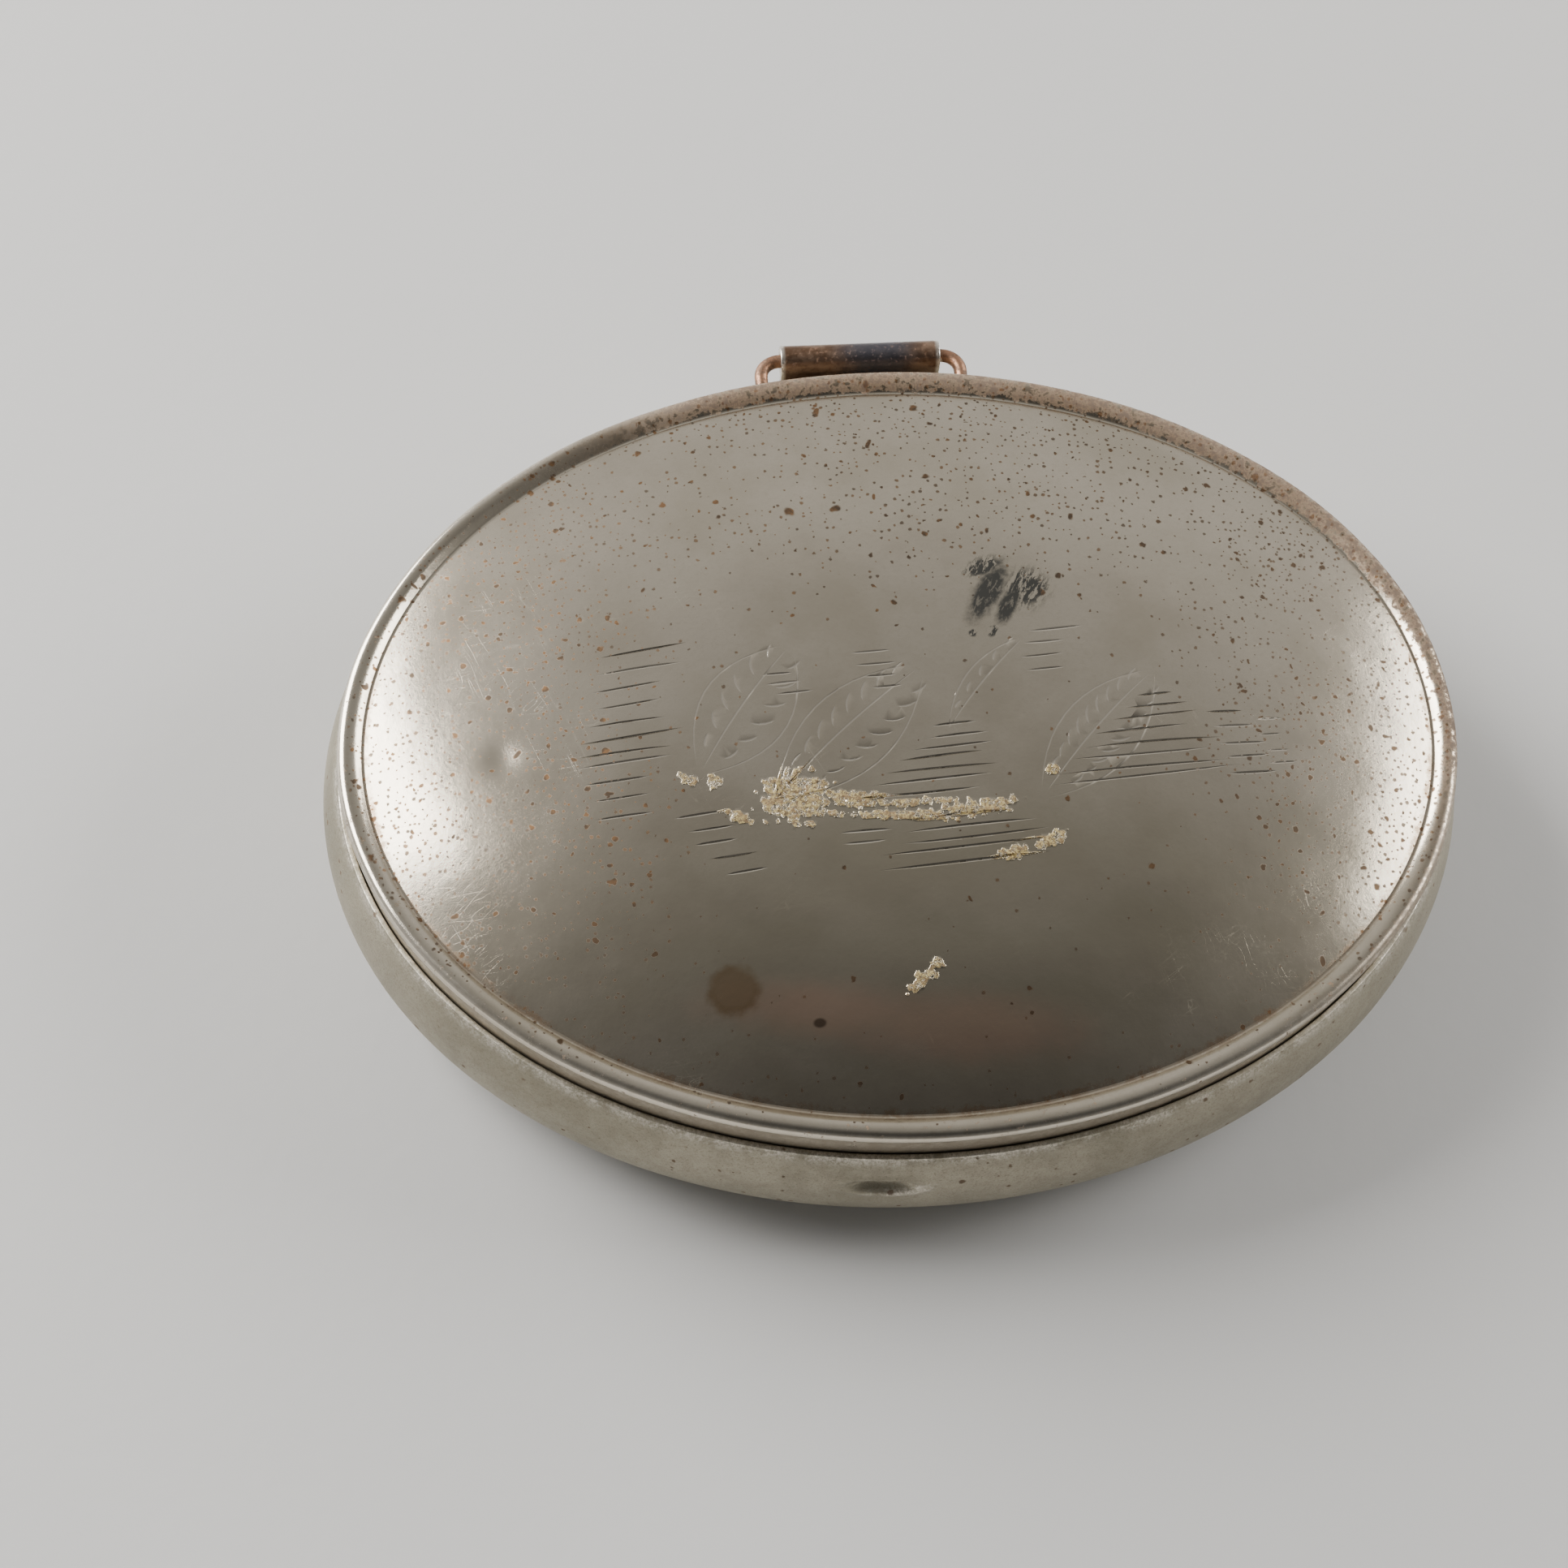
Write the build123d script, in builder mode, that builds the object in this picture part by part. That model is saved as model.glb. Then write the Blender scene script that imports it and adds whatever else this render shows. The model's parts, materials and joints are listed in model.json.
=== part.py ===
from build123d import *
import os

# Oval pocket box of thin plated sheet: a deep pan with bulging walls, closed by a domed lid
# that plugs into it and turns on a wire held in a rolled knuckle at the back.
#
# Frame: millimetres, +Z up, the origin at the centre of the pan's flat underside.
# +X runs along the long axis, +Y towards the hinge. The lid is modelled closed.
#
# Every wall follows one ellipse, the outer edge of the lid's bead. Offsets are counted from
# that ellipse: positive outside it, negative inside it.

# --- driving dimensions ---------------------------------------------------------------
edge_half_length = 39.0  # the governing ellipse, along X
edge_half_width = 29.45  # and along Y
sheet = 0.45  # plate thickness of pan and lid

# heights above the resting face
belly_height = 7.0  # the pan's widest line, and the radius of its lower corner
rim_height = 12.3  # the pan's cut rim, where the seam shows
bead_top = 15.9  # top of the bead round the lid
dome_rise = 4.0  # dome above the channel floor

# offsets from the governing ellipse
belly_out = 1.44  # the pan's widest line
rim_out = 0.2  # the pan's rim
lid_side = -0.35  # the lid's upright side, and its skirt where it enters the pan
skirt_draw_in = 0.3  # the skirt's taper, so that its front edge clears the rim as it lifts
channel_edge = -1.9  # where the channel ends and the dome starts

# lid
skirt_depth = 4.6  # skirt below the pan's rim
bead_radius = 0.6
channel_depth = 0.45  # below the bead's top
dome_power = 2.8  # a higher power gives a flatter crown and a rounder shoulder
dome_steps = 8
crown_part = 0.2  # share of the dome's reach that is left flat at the crown

# snap dimple pressed into the front wall
dimple_length = 5.4
dimple_height = 1.5
dimple_depth = 0.8
dimple_below_rim = 2.8
dimple_x = -3.8  # the catch was struck left of the middle
dimple_taper = 18.0  # degrees

# hinge
wire_radius = 0.5
bore_clearance = 0.06  # radial, wire in knuckle
hole_clearance = 0.05  # radial, wire in the lid's two holes
knuckle_length = 11.8
knuckle_sheet = 0.55
strap_face = 30.95  # Y of the strap's face that is soldered on
strap_bottom = 5.4
roll_gap = 0.15  # slit left where the roll's free end meets the strap
wire_span = 14.8  # between the wire's two legs
wire_bend = 1.4  # where the wire turns from its axis into a leg
wire_tuck_bend = 1.0  # where a leg turns down inside the skirt
axis_height = 13.2
wire_tuck_y = 27.3  # Y of the legs' ends, bent down inside the skirt
wire_tuck_bottom = 10.2
solder_width = 10.8
solder_bottom = 5.7
solder_top = 8.5

# --- derived --------------------------------------------------------------------------
skirt_bottom = rim_height - skirt_depth
bead_middle = bead_top - bead_radius
channel_floor = bead_top - channel_depth
bore_radius = wire_radius + bore_clearance
knuckle_radius = bore_radius + knuckle_sheet
axis_y = strap_face + knuckle_radius
foot_out = belly_out - belly_height  # offset where the lower corner meets the flat bottom
quarter_turn = 0.5**0.5  # sine and cosine of 45 degrees


def half_edge():
    """Half of the governing ellipse, from +X round by the back to -X."""
    EllipticalCenterArc(
        (0, 0), edge_half_length, edge_half_width, start_angle=0, arc_size=180
    )


def section_point(offset, height):
    """A point of a wall section, drawn at the +X end of the box."""
    return (edge_half_length + offset, height)


def wall_line(inset):
    """The pan's wall from the bottom's edge up to the rim, moved inwards by inset."""
    foot = section_point(foot_out, inset)
    belly = section_point(belly_out - inset, belly_height)
    rim = section_point(rim_out - inset, rim_height)
    TangentArc(foot, belly, tangent=(1, 0))
    TangentArc(belly, rim, tangent=(0, 1))
    return foot, rim


def dome_sections(drop):
    """Level ellipses up the dome, from its edge to its almost flat crown, lowered by drop."""
    sections = []
    for step in range(dome_steps):
        part = 1 - (1 - crown_part) * step / (dome_steps - 1)
        height = channel_floor + dome_rise * (1 - part**dome_power) - drop
        with BuildSketch(Plane.XY.offset(height)) as level:
            Ellipse(
                (edge_half_length + channel_edge) * part,
                (edge_half_width + channel_edge) * part,
            )
        sections.append(level.sketch)
    return sections


os.makedirs("parts", exist_ok=True)

# --- base pan -------------------------------------------------------------------------
bottom_overlap = 0.4  # the wall's section runs this far into the flat bottom
with BuildPart() as base_pan:
    with BuildLine() as pan_path:
        half_edge()
    with BuildSketch(Plane.XZ) as pan_wall:
        with BuildLine():
            outer_foot, outer_rim = wall_line(0)
            inner_foot, inner_rim = wall_line(sheet)
            Line(outer_rim, inner_rim)
            Polyline(
                inner_foot,
                section_point(foot_out - bottom_overlap, sheet),
                section_point(foot_out - bottom_overlap, 0),
                outer_foot,
            )
        make_face()
    sweep(path=pan_path.line)
    mirror(about=Plane.XZ)
    with BuildSketch():
        Ellipse(
            edge_half_length + foot_out - bottom_overlap / 2,
            edge_half_width + foot_out - bottom_overlap / 2,
        )
    extrude(amount=sheet)
    # The snap dimple: a pad on the inside, then the recess pressed into it from outside.
    dimple_z = rim_height - dimple_below_rim
    climb = (dimple_z - belly_height) / (rim_height - belly_height)
    dimple_y = -edge_half_width - belly_out + (belly_out - rim_out) * climb**2
    with BuildSketch(
        Plane((dimple_x, dimple_y + sheet / 2, dimple_z), x_dir=(1, 0, 0), z_dir=(0, 1, 0))
    ):
        SlotOverall(dimple_length + 2 * sheet, dimple_height + 2 * sheet)
    extrude(amount=dimple_depth + sheet / 2, taper=dimple_taper)
    with BuildSketch(
        Plane((dimple_x, dimple_y, dimple_z), x_dir=(1, 0, 0), z_dir=(0, 1, 0))
    ):
        SlotOverall(dimple_length, dimple_height)
    extrude(amount=dimple_depth, taper=dimple_taper, mode=Mode.SUBTRACT)
    with BuildSketch(
        Plane((dimple_x, dimple_y, dimple_z), x_dir=(1, 0, 0), z_dir=(0, -1, 0))
    ):
        SlotOverall(dimple_length, dimple_height)
    extrude(amount=sheet, mode=Mode.SUBTRACT)
base_pan.part.label = "base_pan"
export_step(base_pan.part, "parts/base_pan.step")

# --- lid ------------------------------------------------------------------------------
bead_in = -bead_radius  # offset of the bead's middle: its outer edge is the ellipse
side_reach = ((bead_radius**2) - (lid_side - bead_in) ** 2) ** 0.5
floor_reach = ((bead_radius**2) - (channel_floor - bead_middle) ** 2) ** 0.5
inner_side = lid_side - sheet
panel_under = channel_floor - sheet
with BuildPart() as vault:
    loft(sections=dome_sections(sheet))

with BuildPart() as lid:
    # The upright side with its bead and skirt.
    with BuildLine() as lid_path:
        half_edge()
    with BuildSketch(Plane.XZ) as lid_section:
        with BuildLine():
            skirt_foot = section_point(lid_side - skirt_draw_in, skirt_bottom)
            bead_start = section_point(lid_side, bead_middle - side_reach)
            bead_outer = section_point(bead_in + bead_radius, bead_middle)
            bead_crest = section_point(bead_in, bead_top)
            bead_end = section_point(bead_in - floor_reach, channel_floor)
            bead_inner = section_point(
                bead_in - bead_radius * quarter_turn,
                bead_middle + bead_radius * quarter_turn,
            )
            Polyline(skirt_foot, section_point(lid_side, rim_height), bead_start)
            ThreePointArc(bead_start, bead_outer, bead_crest)
            ThreePointArc(bead_crest, bead_inner, bead_end)
            Polyline(
                bead_end,
                section_point(inner_side, channel_floor - sheet / 2),
                section_point(inner_side, rim_height),
                section_point(inner_side - skirt_draw_in, skirt_bottom),
                skirt_foot,
            )
        make_face()
    sweep(path=lid_path.line)
    mirror(about=Plane.XZ)
    # The channel floor, its edge buried in the upright side, then the dome on top of it.
    with BuildSketch(Plane.XY.offset(panel_under)):
        Ellipse(
            edge_half_length + (lid_side + inner_side) / 2,
            edge_half_width + (lid_side + inner_side) / 2,
        )
    extrude(amount=sheet)
    loft(sections=dome_sections(0))
    add(vault.part, mode=Mode.SUBTRACT)
    # The two holes that the hinge wire's legs pass through.
    with BuildSketch(
        Plane((0, wire_tuck_y, axis_height), x_dir=(1, 0, 0), z_dir=(0, 1, 0))
    ):
        with GridLocations(wire_span, 1, 2, 1):
            Circle(wire_radius + hole_clearance)
    extrude(amount=axis_y - wire_tuck_y, mode=Mode.SUBTRACT)
lid.part.label = "lid"
export_step(lid.part, "parts/lid.step")

# --- hinge wire -----------------------------------------------------------------------
leg = wire_span / 2
with BuildPart() as hinge_wire:
    with BuildLine() as wire_path:
        FilletPolyline(
            (-leg, wire_tuck_y, wire_tuck_bottom),
            (-leg, wire_tuck_y, axis_height),
            (-leg, axis_y, axis_height),
            (leg, axis_y, axis_height),
            (leg, wire_tuck_y, axis_height),
            (leg, wire_tuck_y, wire_tuck_bottom),
            radius=(wire_tuck_bend, wire_bend, wire_bend, wire_tuck_bend),
        )
    with BuildSketch(Plane((-leg, wire_tuck_y, wire_tuck_bottom))):
        Circle(wire_radius)
    sweep(path=wire_path.line)
hinge_wire.part.label = "hinge_wire"
export_step(hinge_wire.part, "parts/hinge_wire.step")

# --- hinge knuckle --------------------------------------------------------------------
with BuildPart() as hinge_knuckle:
    with BuildSketch(Plane.YZ):
        with Locations((axis_y, axis_height)):
            Circle(knuckle_radius)
        with Locations((strap_face, strap_bottom)):
            Rectangle(
                knuckle_sheet,
                axis_height - strap_bottom,
                align=(Align.MIN, Align.MIN),
            )
        with Locations((axis_y, axis_height)):
            Circle(bore_radius, mode=Mode.SUBTRACT)
        with Locations((strap_face + knuckle_sheet, axis_height - bore_radius / 2)):
            Rectangle(
                roll_gap,
                knuckle_radius,
                align=(Align.MIN, Align.MAX),
                mode=Mode.SUBTRACT,
            )
    extrude(amount=knuckle_length / 2, both=True)
hinge_knuckle.part.label = "hinge_knuckle"
export_step(hinge_knuckle.part, "parts/hinge_knuckle.step")

# --- solder between strap and pan -----------------------------------------------------
form_depth = 3.0  # the cutting form reaches this far inside the pan's outer face
with BuildPart() as pan_form:
    with BuildLine() as form_path:
        half_edge()
    with BuildSketch(Plane.XZ):
        with BuildLine():
            form_foot, form_rim = wall_line(0)
            Polyline(
                form_rim,
                section_point(rim_out - form_depth, rim_height),
                section_point(foot_out - form_depth, 0),
                form_foot,
            )
        make_face()
    sweep(path=form_path.line)

solder_depth = 1.2
with BuildPart() as hinge_solder:
    with BuildSketch(Plane.XZ.offset(-strap_face)):
        with Locations((0, (solder_bottom + solder_top) / 2)):
            RectangleRounded(solder_width, solder_top - solder_bottom, 0.6)
    extrude(amount=solder_depth)
    add(pan_form.part, mode=Mode.SUBTRACT)
hinge_solder.part.label = "hinge_solder"
export_step(hinge_solder.part, "parts/hinge_solder.step")
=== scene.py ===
"""Looks of an oval hinged pocket box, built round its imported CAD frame.

A bulging pan and a domed lid of worn, plated sheet. The lid is engraved with leaves and
hatching of a generic pattern; its strokes are real V-shaped cuts in the mesh. At the back a
rolled strap turns on a bent wire. Metres throughout, +Z up, +Y towards the hinge.
"""

import functools
import json
import math
import random

import bmesh
import bpy
import numpy as np
from mathutils import Matrix, Vector
from mathutils.geometry import delaunay_2d_cdt


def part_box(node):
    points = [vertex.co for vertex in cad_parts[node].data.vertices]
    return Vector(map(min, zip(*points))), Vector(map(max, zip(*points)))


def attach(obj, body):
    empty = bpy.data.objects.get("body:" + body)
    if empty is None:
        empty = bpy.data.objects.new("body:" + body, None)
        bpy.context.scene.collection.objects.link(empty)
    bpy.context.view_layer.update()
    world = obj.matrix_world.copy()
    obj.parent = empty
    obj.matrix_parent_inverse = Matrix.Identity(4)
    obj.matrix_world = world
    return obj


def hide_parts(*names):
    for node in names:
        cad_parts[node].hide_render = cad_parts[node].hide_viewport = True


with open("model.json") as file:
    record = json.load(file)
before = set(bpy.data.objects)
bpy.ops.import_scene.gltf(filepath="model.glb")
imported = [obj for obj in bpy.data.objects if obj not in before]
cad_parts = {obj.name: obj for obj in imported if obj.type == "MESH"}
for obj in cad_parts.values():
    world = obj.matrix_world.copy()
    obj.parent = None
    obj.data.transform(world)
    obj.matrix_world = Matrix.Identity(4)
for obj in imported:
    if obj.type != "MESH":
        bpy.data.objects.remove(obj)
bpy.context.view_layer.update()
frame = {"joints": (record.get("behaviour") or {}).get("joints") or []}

# --- sizes ----------------------------------------------------------------------------
MM = 0.001
lid_low, lid_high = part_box("lid")
pan_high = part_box("base_pan")[1]
wire_low, wire_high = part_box("hinge_wire")
knuckle_low, knuckle_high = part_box("hinge_knuckle")
solder_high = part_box("hinge_solder")[1]
AXIS = Vector(frame["joints"][0]["pos_m"])  # a point on the hinge's axis

# The governing ellipse is the outer edge of the lid's bead. Offsets are counted from it.
EDGE_X = lid_high.x
EDGE_Y = lid_high.y
SHEET = 0.45 * MM
BELLY_Z = 7.0 * MM
BELLY_OUT = pan_high.x - EDGE_X
RIM_Z = pan_high.z
RIM_OUT = 0.2 * MM
RIM_DROP = BELLY_OUT - RIM_OUT
WALL_RADIUS = ((RIM_Z - BELLY_Z) ** 2 + RIM_DROP**2) / (2 * RIM_DROP)  # belly to rim
LID_SIDE = -0.35 * MM
SKIRT_Z = lid_low.z
SKIRT_DRAW = 0.3 * MM
BEAD_TOP = RIM_Z + 3.6 * MM
BEAD_RADIUS = 0.6 * MM
CHANNEL_EDGE = -1.9 * MM
CHANNEL_Z = BEAD_TOP - 0.45 * MM
DOME_RISE = lid_high.z - CHANNEL_Z
DOME_POWER = 2.8
DOME_X = EDGE_X + CHANNEL_EDGE
DOME_Y = EDGE_Y + CHANNEL_EDGE

AROUND = 600  # vertices round every wall
UNDER_RINGS = 30  # rings of vertices under the dome
GRID = 0.85 * MM  # spacing of the dome's own vertices
FINE_GRID = 0.2 * MM  # spacing round the crust and the sharp dent


# --- small helpers --------------------------------------------------------------------
def smooth(value, low, high):
    """0 below low, 1 above high, and an S-curve between."""
    t = np.clip((value - low) / (high - low), 0.0, 1.0)
    return t * t * (3.0 - 2.0 * t)


def ripple(x, y, size, seed):
    """Smooth, repeatable unevenness between about -1 and 1, with features of that size."""
    draw = random.Random(seed)
    total = np.zeros_like(x)
    waves = 7
    for _ in range(waves):
        turn = draw.uniform(0, 2 * math.pi)
        pitch = 2 * math.pi / (size * draw.uniform(0.7, 1.6))
        shift = draw.uniform(0, 2 * math.pi)
        total += np.sin((x * math.cos(turn) + y * math.sin(turn)) * pitch + shift)
    return total / math.sqrt(waves)


def arc(centre, radius, start, end, count):
    """Points (offset, height) round part of a circle; angles in degrees."""
    angles = np.radians(np.linspace(start, end, count))
    return [(centre[0] + radius * math.cos(a), centre[1] + radius * math.sin(a)) for a in angles]


def line(start, end, count):
    """Points from start towards end, without the last one."""
    return list(zip(*(np.linspace(a, b, count, endpoint=False) for a, b in zip(start, end))))


def unit(rows):
    """Each row as a vector of length 1."""
    return rows / np.linalg.norm(rows, axis=1)[:, None]


def leftward(rows):
    """Each (x, y) turned a quarter turn to the left."""
    return np.stack([-rows[..., 1], rows[..., 0]], axis=-1)


def columns(x, y, z):
    """Points from their three coordinates; each may be one number for all."""
    return np.column_stack(np.broadcast_arrays(x, y, z))


def read_array(items, name, kind, width=1):
    """One property of every item of a mesh, as an array."""
    values = np.zeros(len(items) * width, kind)
    items.foreach_get(name, values)
    return values.reshape(-1, width).squeeze()


def add_object(name, data):
    """A new object in the scene."""
    added = bpy.data.objects.new(name, data)
    bpy.context.scene.collection.objects.link(added)
    return added


def stand(thing, place, right, up, back):
    """Puts an object at a place, its own axes along right, up and back."""
    turn = Matrix((right, up, back)).transposed().to_4x4()
    thing.matrix_world = Matrix.Translation(place) @ turn


def make_piece(name, points, faces, body, node, material, marks=None, sharp=None):
    """A mesh object that rides on a body and stands for a CAD node.

    Marks are values stored on the points. Edges steeper than sharp degrees are left sharp.
    """
    mesh = bpy.data.meshes.new(name)
    mesh.from_pydata([tuple(p) for p in points], [], faces)
    mesh.validate()
    tidy = bmesh.new()
    tidy.from_mesh(mesh)
    bmesh.ops.recalc_face_normals(tidy, faces=tidy.faces)
    tidy.to_mesh(mesh)
    tidy.free()
    for label, values in (marks or {}).items():
        layer = mesh.attributes.new(label, "FLOAT", "POINT")
        layer.data.foreach_set("value", np.asarray(values, np.float32))
    mesh.shade_smooth()
    if sharp:
        mesh.set_sharp_from_angle(angle=math.radians(sharp))
    mesh.materials.append(material)
    piece = add_object(name, mesh)
    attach(piece, body)
    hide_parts(node)
    return piece


# --- the dome's surface ---------------------------------------------------------------
# Dents: centre x, y, radius and depth in mm; a negative depth is a bump.
DENTS = [
    (-27.7, -1.3, 1.1, 0.08),
    (-25.5, 1.5, 7.0, 0.07),
    (3.0, -8.0, 12.0, 0.16),
    (12.0, 9.0, 9.0, -0.08),
    (-14.0, 13.0, 8.0, -0.07),
    (22.0, -9.0, 6.0, 0.07),
]


def dome_share(x, y):
    """0 at the crown, 1 where the dome meets the channel."""
    return np.sqrt((x / DOME_X) ** 2 + (y / DOME_Y) ** 2)


def dome_height(x, y):
    """Height of the lid's domed surface, with its dents and unevenness."""
    share = dome_share(x, y)
    height = CHANNEL_Z + DOME_RISE * (1.0 - share**DOME_POWER)
    inside = 1.0 - smooth(share, 0.86, 0.99)
    for dent_x, dent_y, radius, depth in DENTS:
        apart = ((x - dent_x * MM) ** 2 + (y - dent_y * MM) ** 2) / (radius * MM) ** 2
        height = height - depth * MM * np.exp(-apart) * inside
    height = height + 0.035 * MM * ripple(x, y, 22 * MM, 3) * inside
    height = height + 0.008 * MM * ripple(x, y, 7 * MM, 4) * inside
    return height


def dome_normals(x, y):
    """Unit normals of the domed surface."""
    step = 0.05 * MM
    slope_x = (dome_height(x + step, y) - dome_height(x - step, y)) / (2 * step)
    slope_y = (dome_height(x, y + step) - dome_height(x, y - step)) / (2 * step)
    return unit(columns(-slope_x, -slope_y, 1.0))


# --- engraving ------------------------------------------------------------------------
class Stroke:
    """One cut of the graver: a centre line in mm, the cut's width and its depth."""

    def __init__(self, points, width, depth):
        self.points = np.array(points, float) * MM
        self.width = width * MM
        self.depth = depth * MM

    def half_widths(self):
        """Half the cut's width at each point, pointed at both ends."""
        t = np.linspace(0, 1, len(self.points))
        return 0.5 * self.width * np.sin(np.pi * t) ** 0.45

    def sides(self):
        """The two edges of the cut, without the shared end points."""
        across = leftward(unit(np.gradient(self.points, axis=0)))
        reach = across * self.half_widths()[:, None]
        return (self.points + reach)[1:-1], (self.points - reach)[1:-1]


def bent_line(start, end, bow, count):
    """A shallow curve from start to end; bow is its sideways swing as a share of its length."""
    start = np.array(start, float)
    run = np.array(end, float) - start
    t = np.linspace(0, 1, count)[:, None]
    return start + run * t + leftward(run) * bow * 4 * t * (1 - t)


def hatch(corner, rows, step, lengths, lean, depth, draw):
    """Rows of near-level strokes going down from corner; lengths runs from first to last."""
    strokes = []
    for row in range(rows):
        part = row / max(rows - 1, 1)
        length = lengths[0] + (lengths[1] - lengths[0]) * part
        length *= draw.uniform(1.0, 1.3)
        x = corner[0] + step[0] * row + draw.uniform(-0.35, 0.35)
        y = corner[1] + step[1] * row + draw.uniform(-0.12, 0.12)
        rise = length * math.tan(math.radians(lean + draw.uniform(-1.2, 1.2)))
        path = bent_line((x, y), (x + length, y + rise), draw.uniform(-0.012, 0.012), 6)
        strokes.append(Stroke(path, draw.uniform(0.17, 0.24), depth * draw.uniform(0.8, 1.1)))
    return strokes


def leaf(base, tip, swell, veins, one_sided, draw):
    """A leaf: two bowed edges, a midrib, and short curved veins."""
    base = np.array(base, float)
    run = np.array(tip, float) - base
    side = leftward(run)
    strokes = [Stroke(bent_line(base, tip, swell, 14), 0.17, 0.02)]
    strokes.append(Stroke(bent_line(base, tip, 0.03, 12), 0.18, 0.024))
    if not one_sided:
        strokes.append(Stroke(bent_line(base, tip, -swell, 14), 0.17, 0.02))
    for vein in range(veins):
        t = 0.16 + 0.68 * vein / max(veins - 1, 1)
        root = base + run * t
        reach = swell * 4 * t * (1 - t) * 0.72
        for hand in (1,) if one_sided else (1, -1):
            end = root + side * reach * hand + run * 0.1
            path = bent_line(root + side * 0.06 * hand, end, 0.12 * hand, 6)
            strokes.append(Stroke(path, draw.uniform(0.17, 0.23), 0.028))
    return strokes


# Leaves: base, tip, swell as a share of the length, number of veins, and if it is one-sided.
LEAVES = [
    ((-14.6, -3.9), (-7.6, 5.6), 0.26, 6, False),
    ((-9.6, -6.0), (1.4, 3.6), 0.2, 8, False),
    ((8.4, -6.9), (17.4, 2.6), 0.2, 9, False),
    ((2.6, -1.4), (8.6, 5.4), 0.16, 5, True),
]
DEEP = 0.07
FAINT = 0.05
# Beds of hatching: corner, rows, step between rows, first and last length, lean and depth.
HATCHES = [
    ((-21.0, 5.6), 4, (-0.2, -1.3), (5.6, 4.6), 5, DEEP),
    ((-22.4, 0.2), 4, (-0.15, -1.0), (5.4, 6.2), 4, DEEP),
    ((-22.8, -4.0), 3, (0.5, -1.3), (4.6, 3.4), 4, DEEP),
    ((-16.8, -6.8), 5, (0.75, -1.05), (3.4, 2.6), 6, DEEP),
    ((1.6, -1.2), 7, (-0.9, -0.85), (2.6, 8.6), 4, DEEP),
    ((15.6, 0.6), 8, (-0.95, -0.95), (2.2, 11.4), 5, DEEP),
    ((20.6, -0.8), 5, (0.15, -1.15), (2.6, 3.2), 3, DEEP),
    ((24.0, -1.4), 4, (0.1, -1.1), (1.6, 2.0), 4, FAINT),
    ((-0.6, -8.0), 5, (-0.7, -0.85), (6.6, 10.4), 4, DEEP),
    ((-5.6, -8.6), 2, (0.3, -0.9), (3.6, 3.0), 2, FAINT),
    ((-3.6, 4.6), 4, (0.3, -0.9), (3.0, 2.0), 3, FAINT),
    ((8.8, 5.8), 4, (-0.3, -1.0), (3.4, 2.4), 4, FAINT),
    ((-9.6, 3.4), 3, (0.1, -0.8), (2.2, 2.8), 3, FAINT),
]


def engraving():
    """The whole pattern: leaves with beds of hatching round them."""
    draw = random.Random(11)
    strokes = []
    for shape in LEAVES:
        strokes += leaf(*shape, draw)
    for bed in HATCHES:
        strokes += hatch(*bed, draw)
    return strokes


def cut_depth(x, y, strokes):
    """Depth of the engraving at each point: a V across every stroke."""
    depth = np.zeros_like(x)
    for stroke in strokes:
        reach = stroke.width
        low = stroke.points.min(0) - reach
        high = stroke.points.max(0) + reach
        near = (x > low[0]) & (x < high[0]) & (y > low[1]) & (y < high[1])
        near = np.nonzero(near)[0]
        if len(near) == 0:
            continue
        spots = np.stack([x[near], y[near]], axis=1)
        halves = stroke.half_widths()
        best = np.zeros(len(near))
        for i in range(len(stroke.points) - 1):
            start = stroke.points[i]
            run = stroke.points[i + 1] - start
            t = np.clip(((spots - start) @ run) / (run @ run), 0, 1)
            away = np.linalg.norm(spots - start - t[:, None] * run, axis=1)
            half = halves[i] + (halves[i + 1] - halves[i]) * t
            share = np.clip(1 - away / np.maximum(half, 1e-9), 0, 1)
            best = np.maximum(best, share * stroke.depth * half / (0.5 * stroke.width))
        depth[near] = np.maximum(depth[near], best)
    return depth


# --- crust ----------------------------------------------------------------------------
CRUST_HEIGHT = 0.1 * MM
# Dried residue: centre x, y, half-length, half-width in mm, and its turn in degrees.
CRUSTS = [
    (-8.2, -6.0, 2.7, 2.1, 0),
    (-4.2, -6.3, 2.4, 0.75, -4),
    (-0.6, -7.6, 4.6, 0.42, -3),
    (-0.4, -6.7, 3.6, 0.28, 0),
    (4.2, -7.3, 2.9, 0.65, 6),
    (-15.3, -4.2, 0.85, 0.45, -40),
    (-13.6, -4.4, 0.75, 0.55, 60),
    (-12.2, -7.1, 0.95, 0.45, -30),
    (6.1, -10.6, 1.2, 0.6, 15),
    (8.8, -9.8, 1.4, 0.6, 25),
    (9.3, -4.8, 0.6, 0.4, 30),
    (-0.6, -18.8, 1.9, 0.5, 42),
]


def crust_share(x, y):
    """Where crust lies: 0 outside the patches, up to 1 inside them, broken up by ripples."""
    share = np.zeros_like(x)
    for centre_x, centre_y, length, width, turn in CRUSTS:
        c = math.cos(math.radians(turn))
        s = math.sin(math.radians(turn))
        dx = x / MM - centre_x
        dy = y / MM - centre_y
        away = np.sqrt(((dx * c + dy * s) / length) ** 2 + ((dy * c - dx * s) / width) ** 2)
        share = np.maximum(share, 1 - smooth(away, 0.35, 1.25))
    broken = ripple(x, y, 1.1 * MM, 21) * 0.5 + ripple(x, y, 0.5 * MM, 22) * 0.5
    return smooth(share + 0.6 * broken, 0.4, 0.75) * (share > 0.02)


# --- lid ------------------------------------------------------------------------------
def turn_list(extra=()):
    """Angles round the ellipse, evenly spaced, with extra ones where detail needs them."""
    turns = list(np.linspace(0, 2 * math.pi, AROUND, endpoint=False)) + list(extra)
    return np.array(sorted(set(round(t % (2 * math.pi), 6) for t in turns)))


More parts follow.
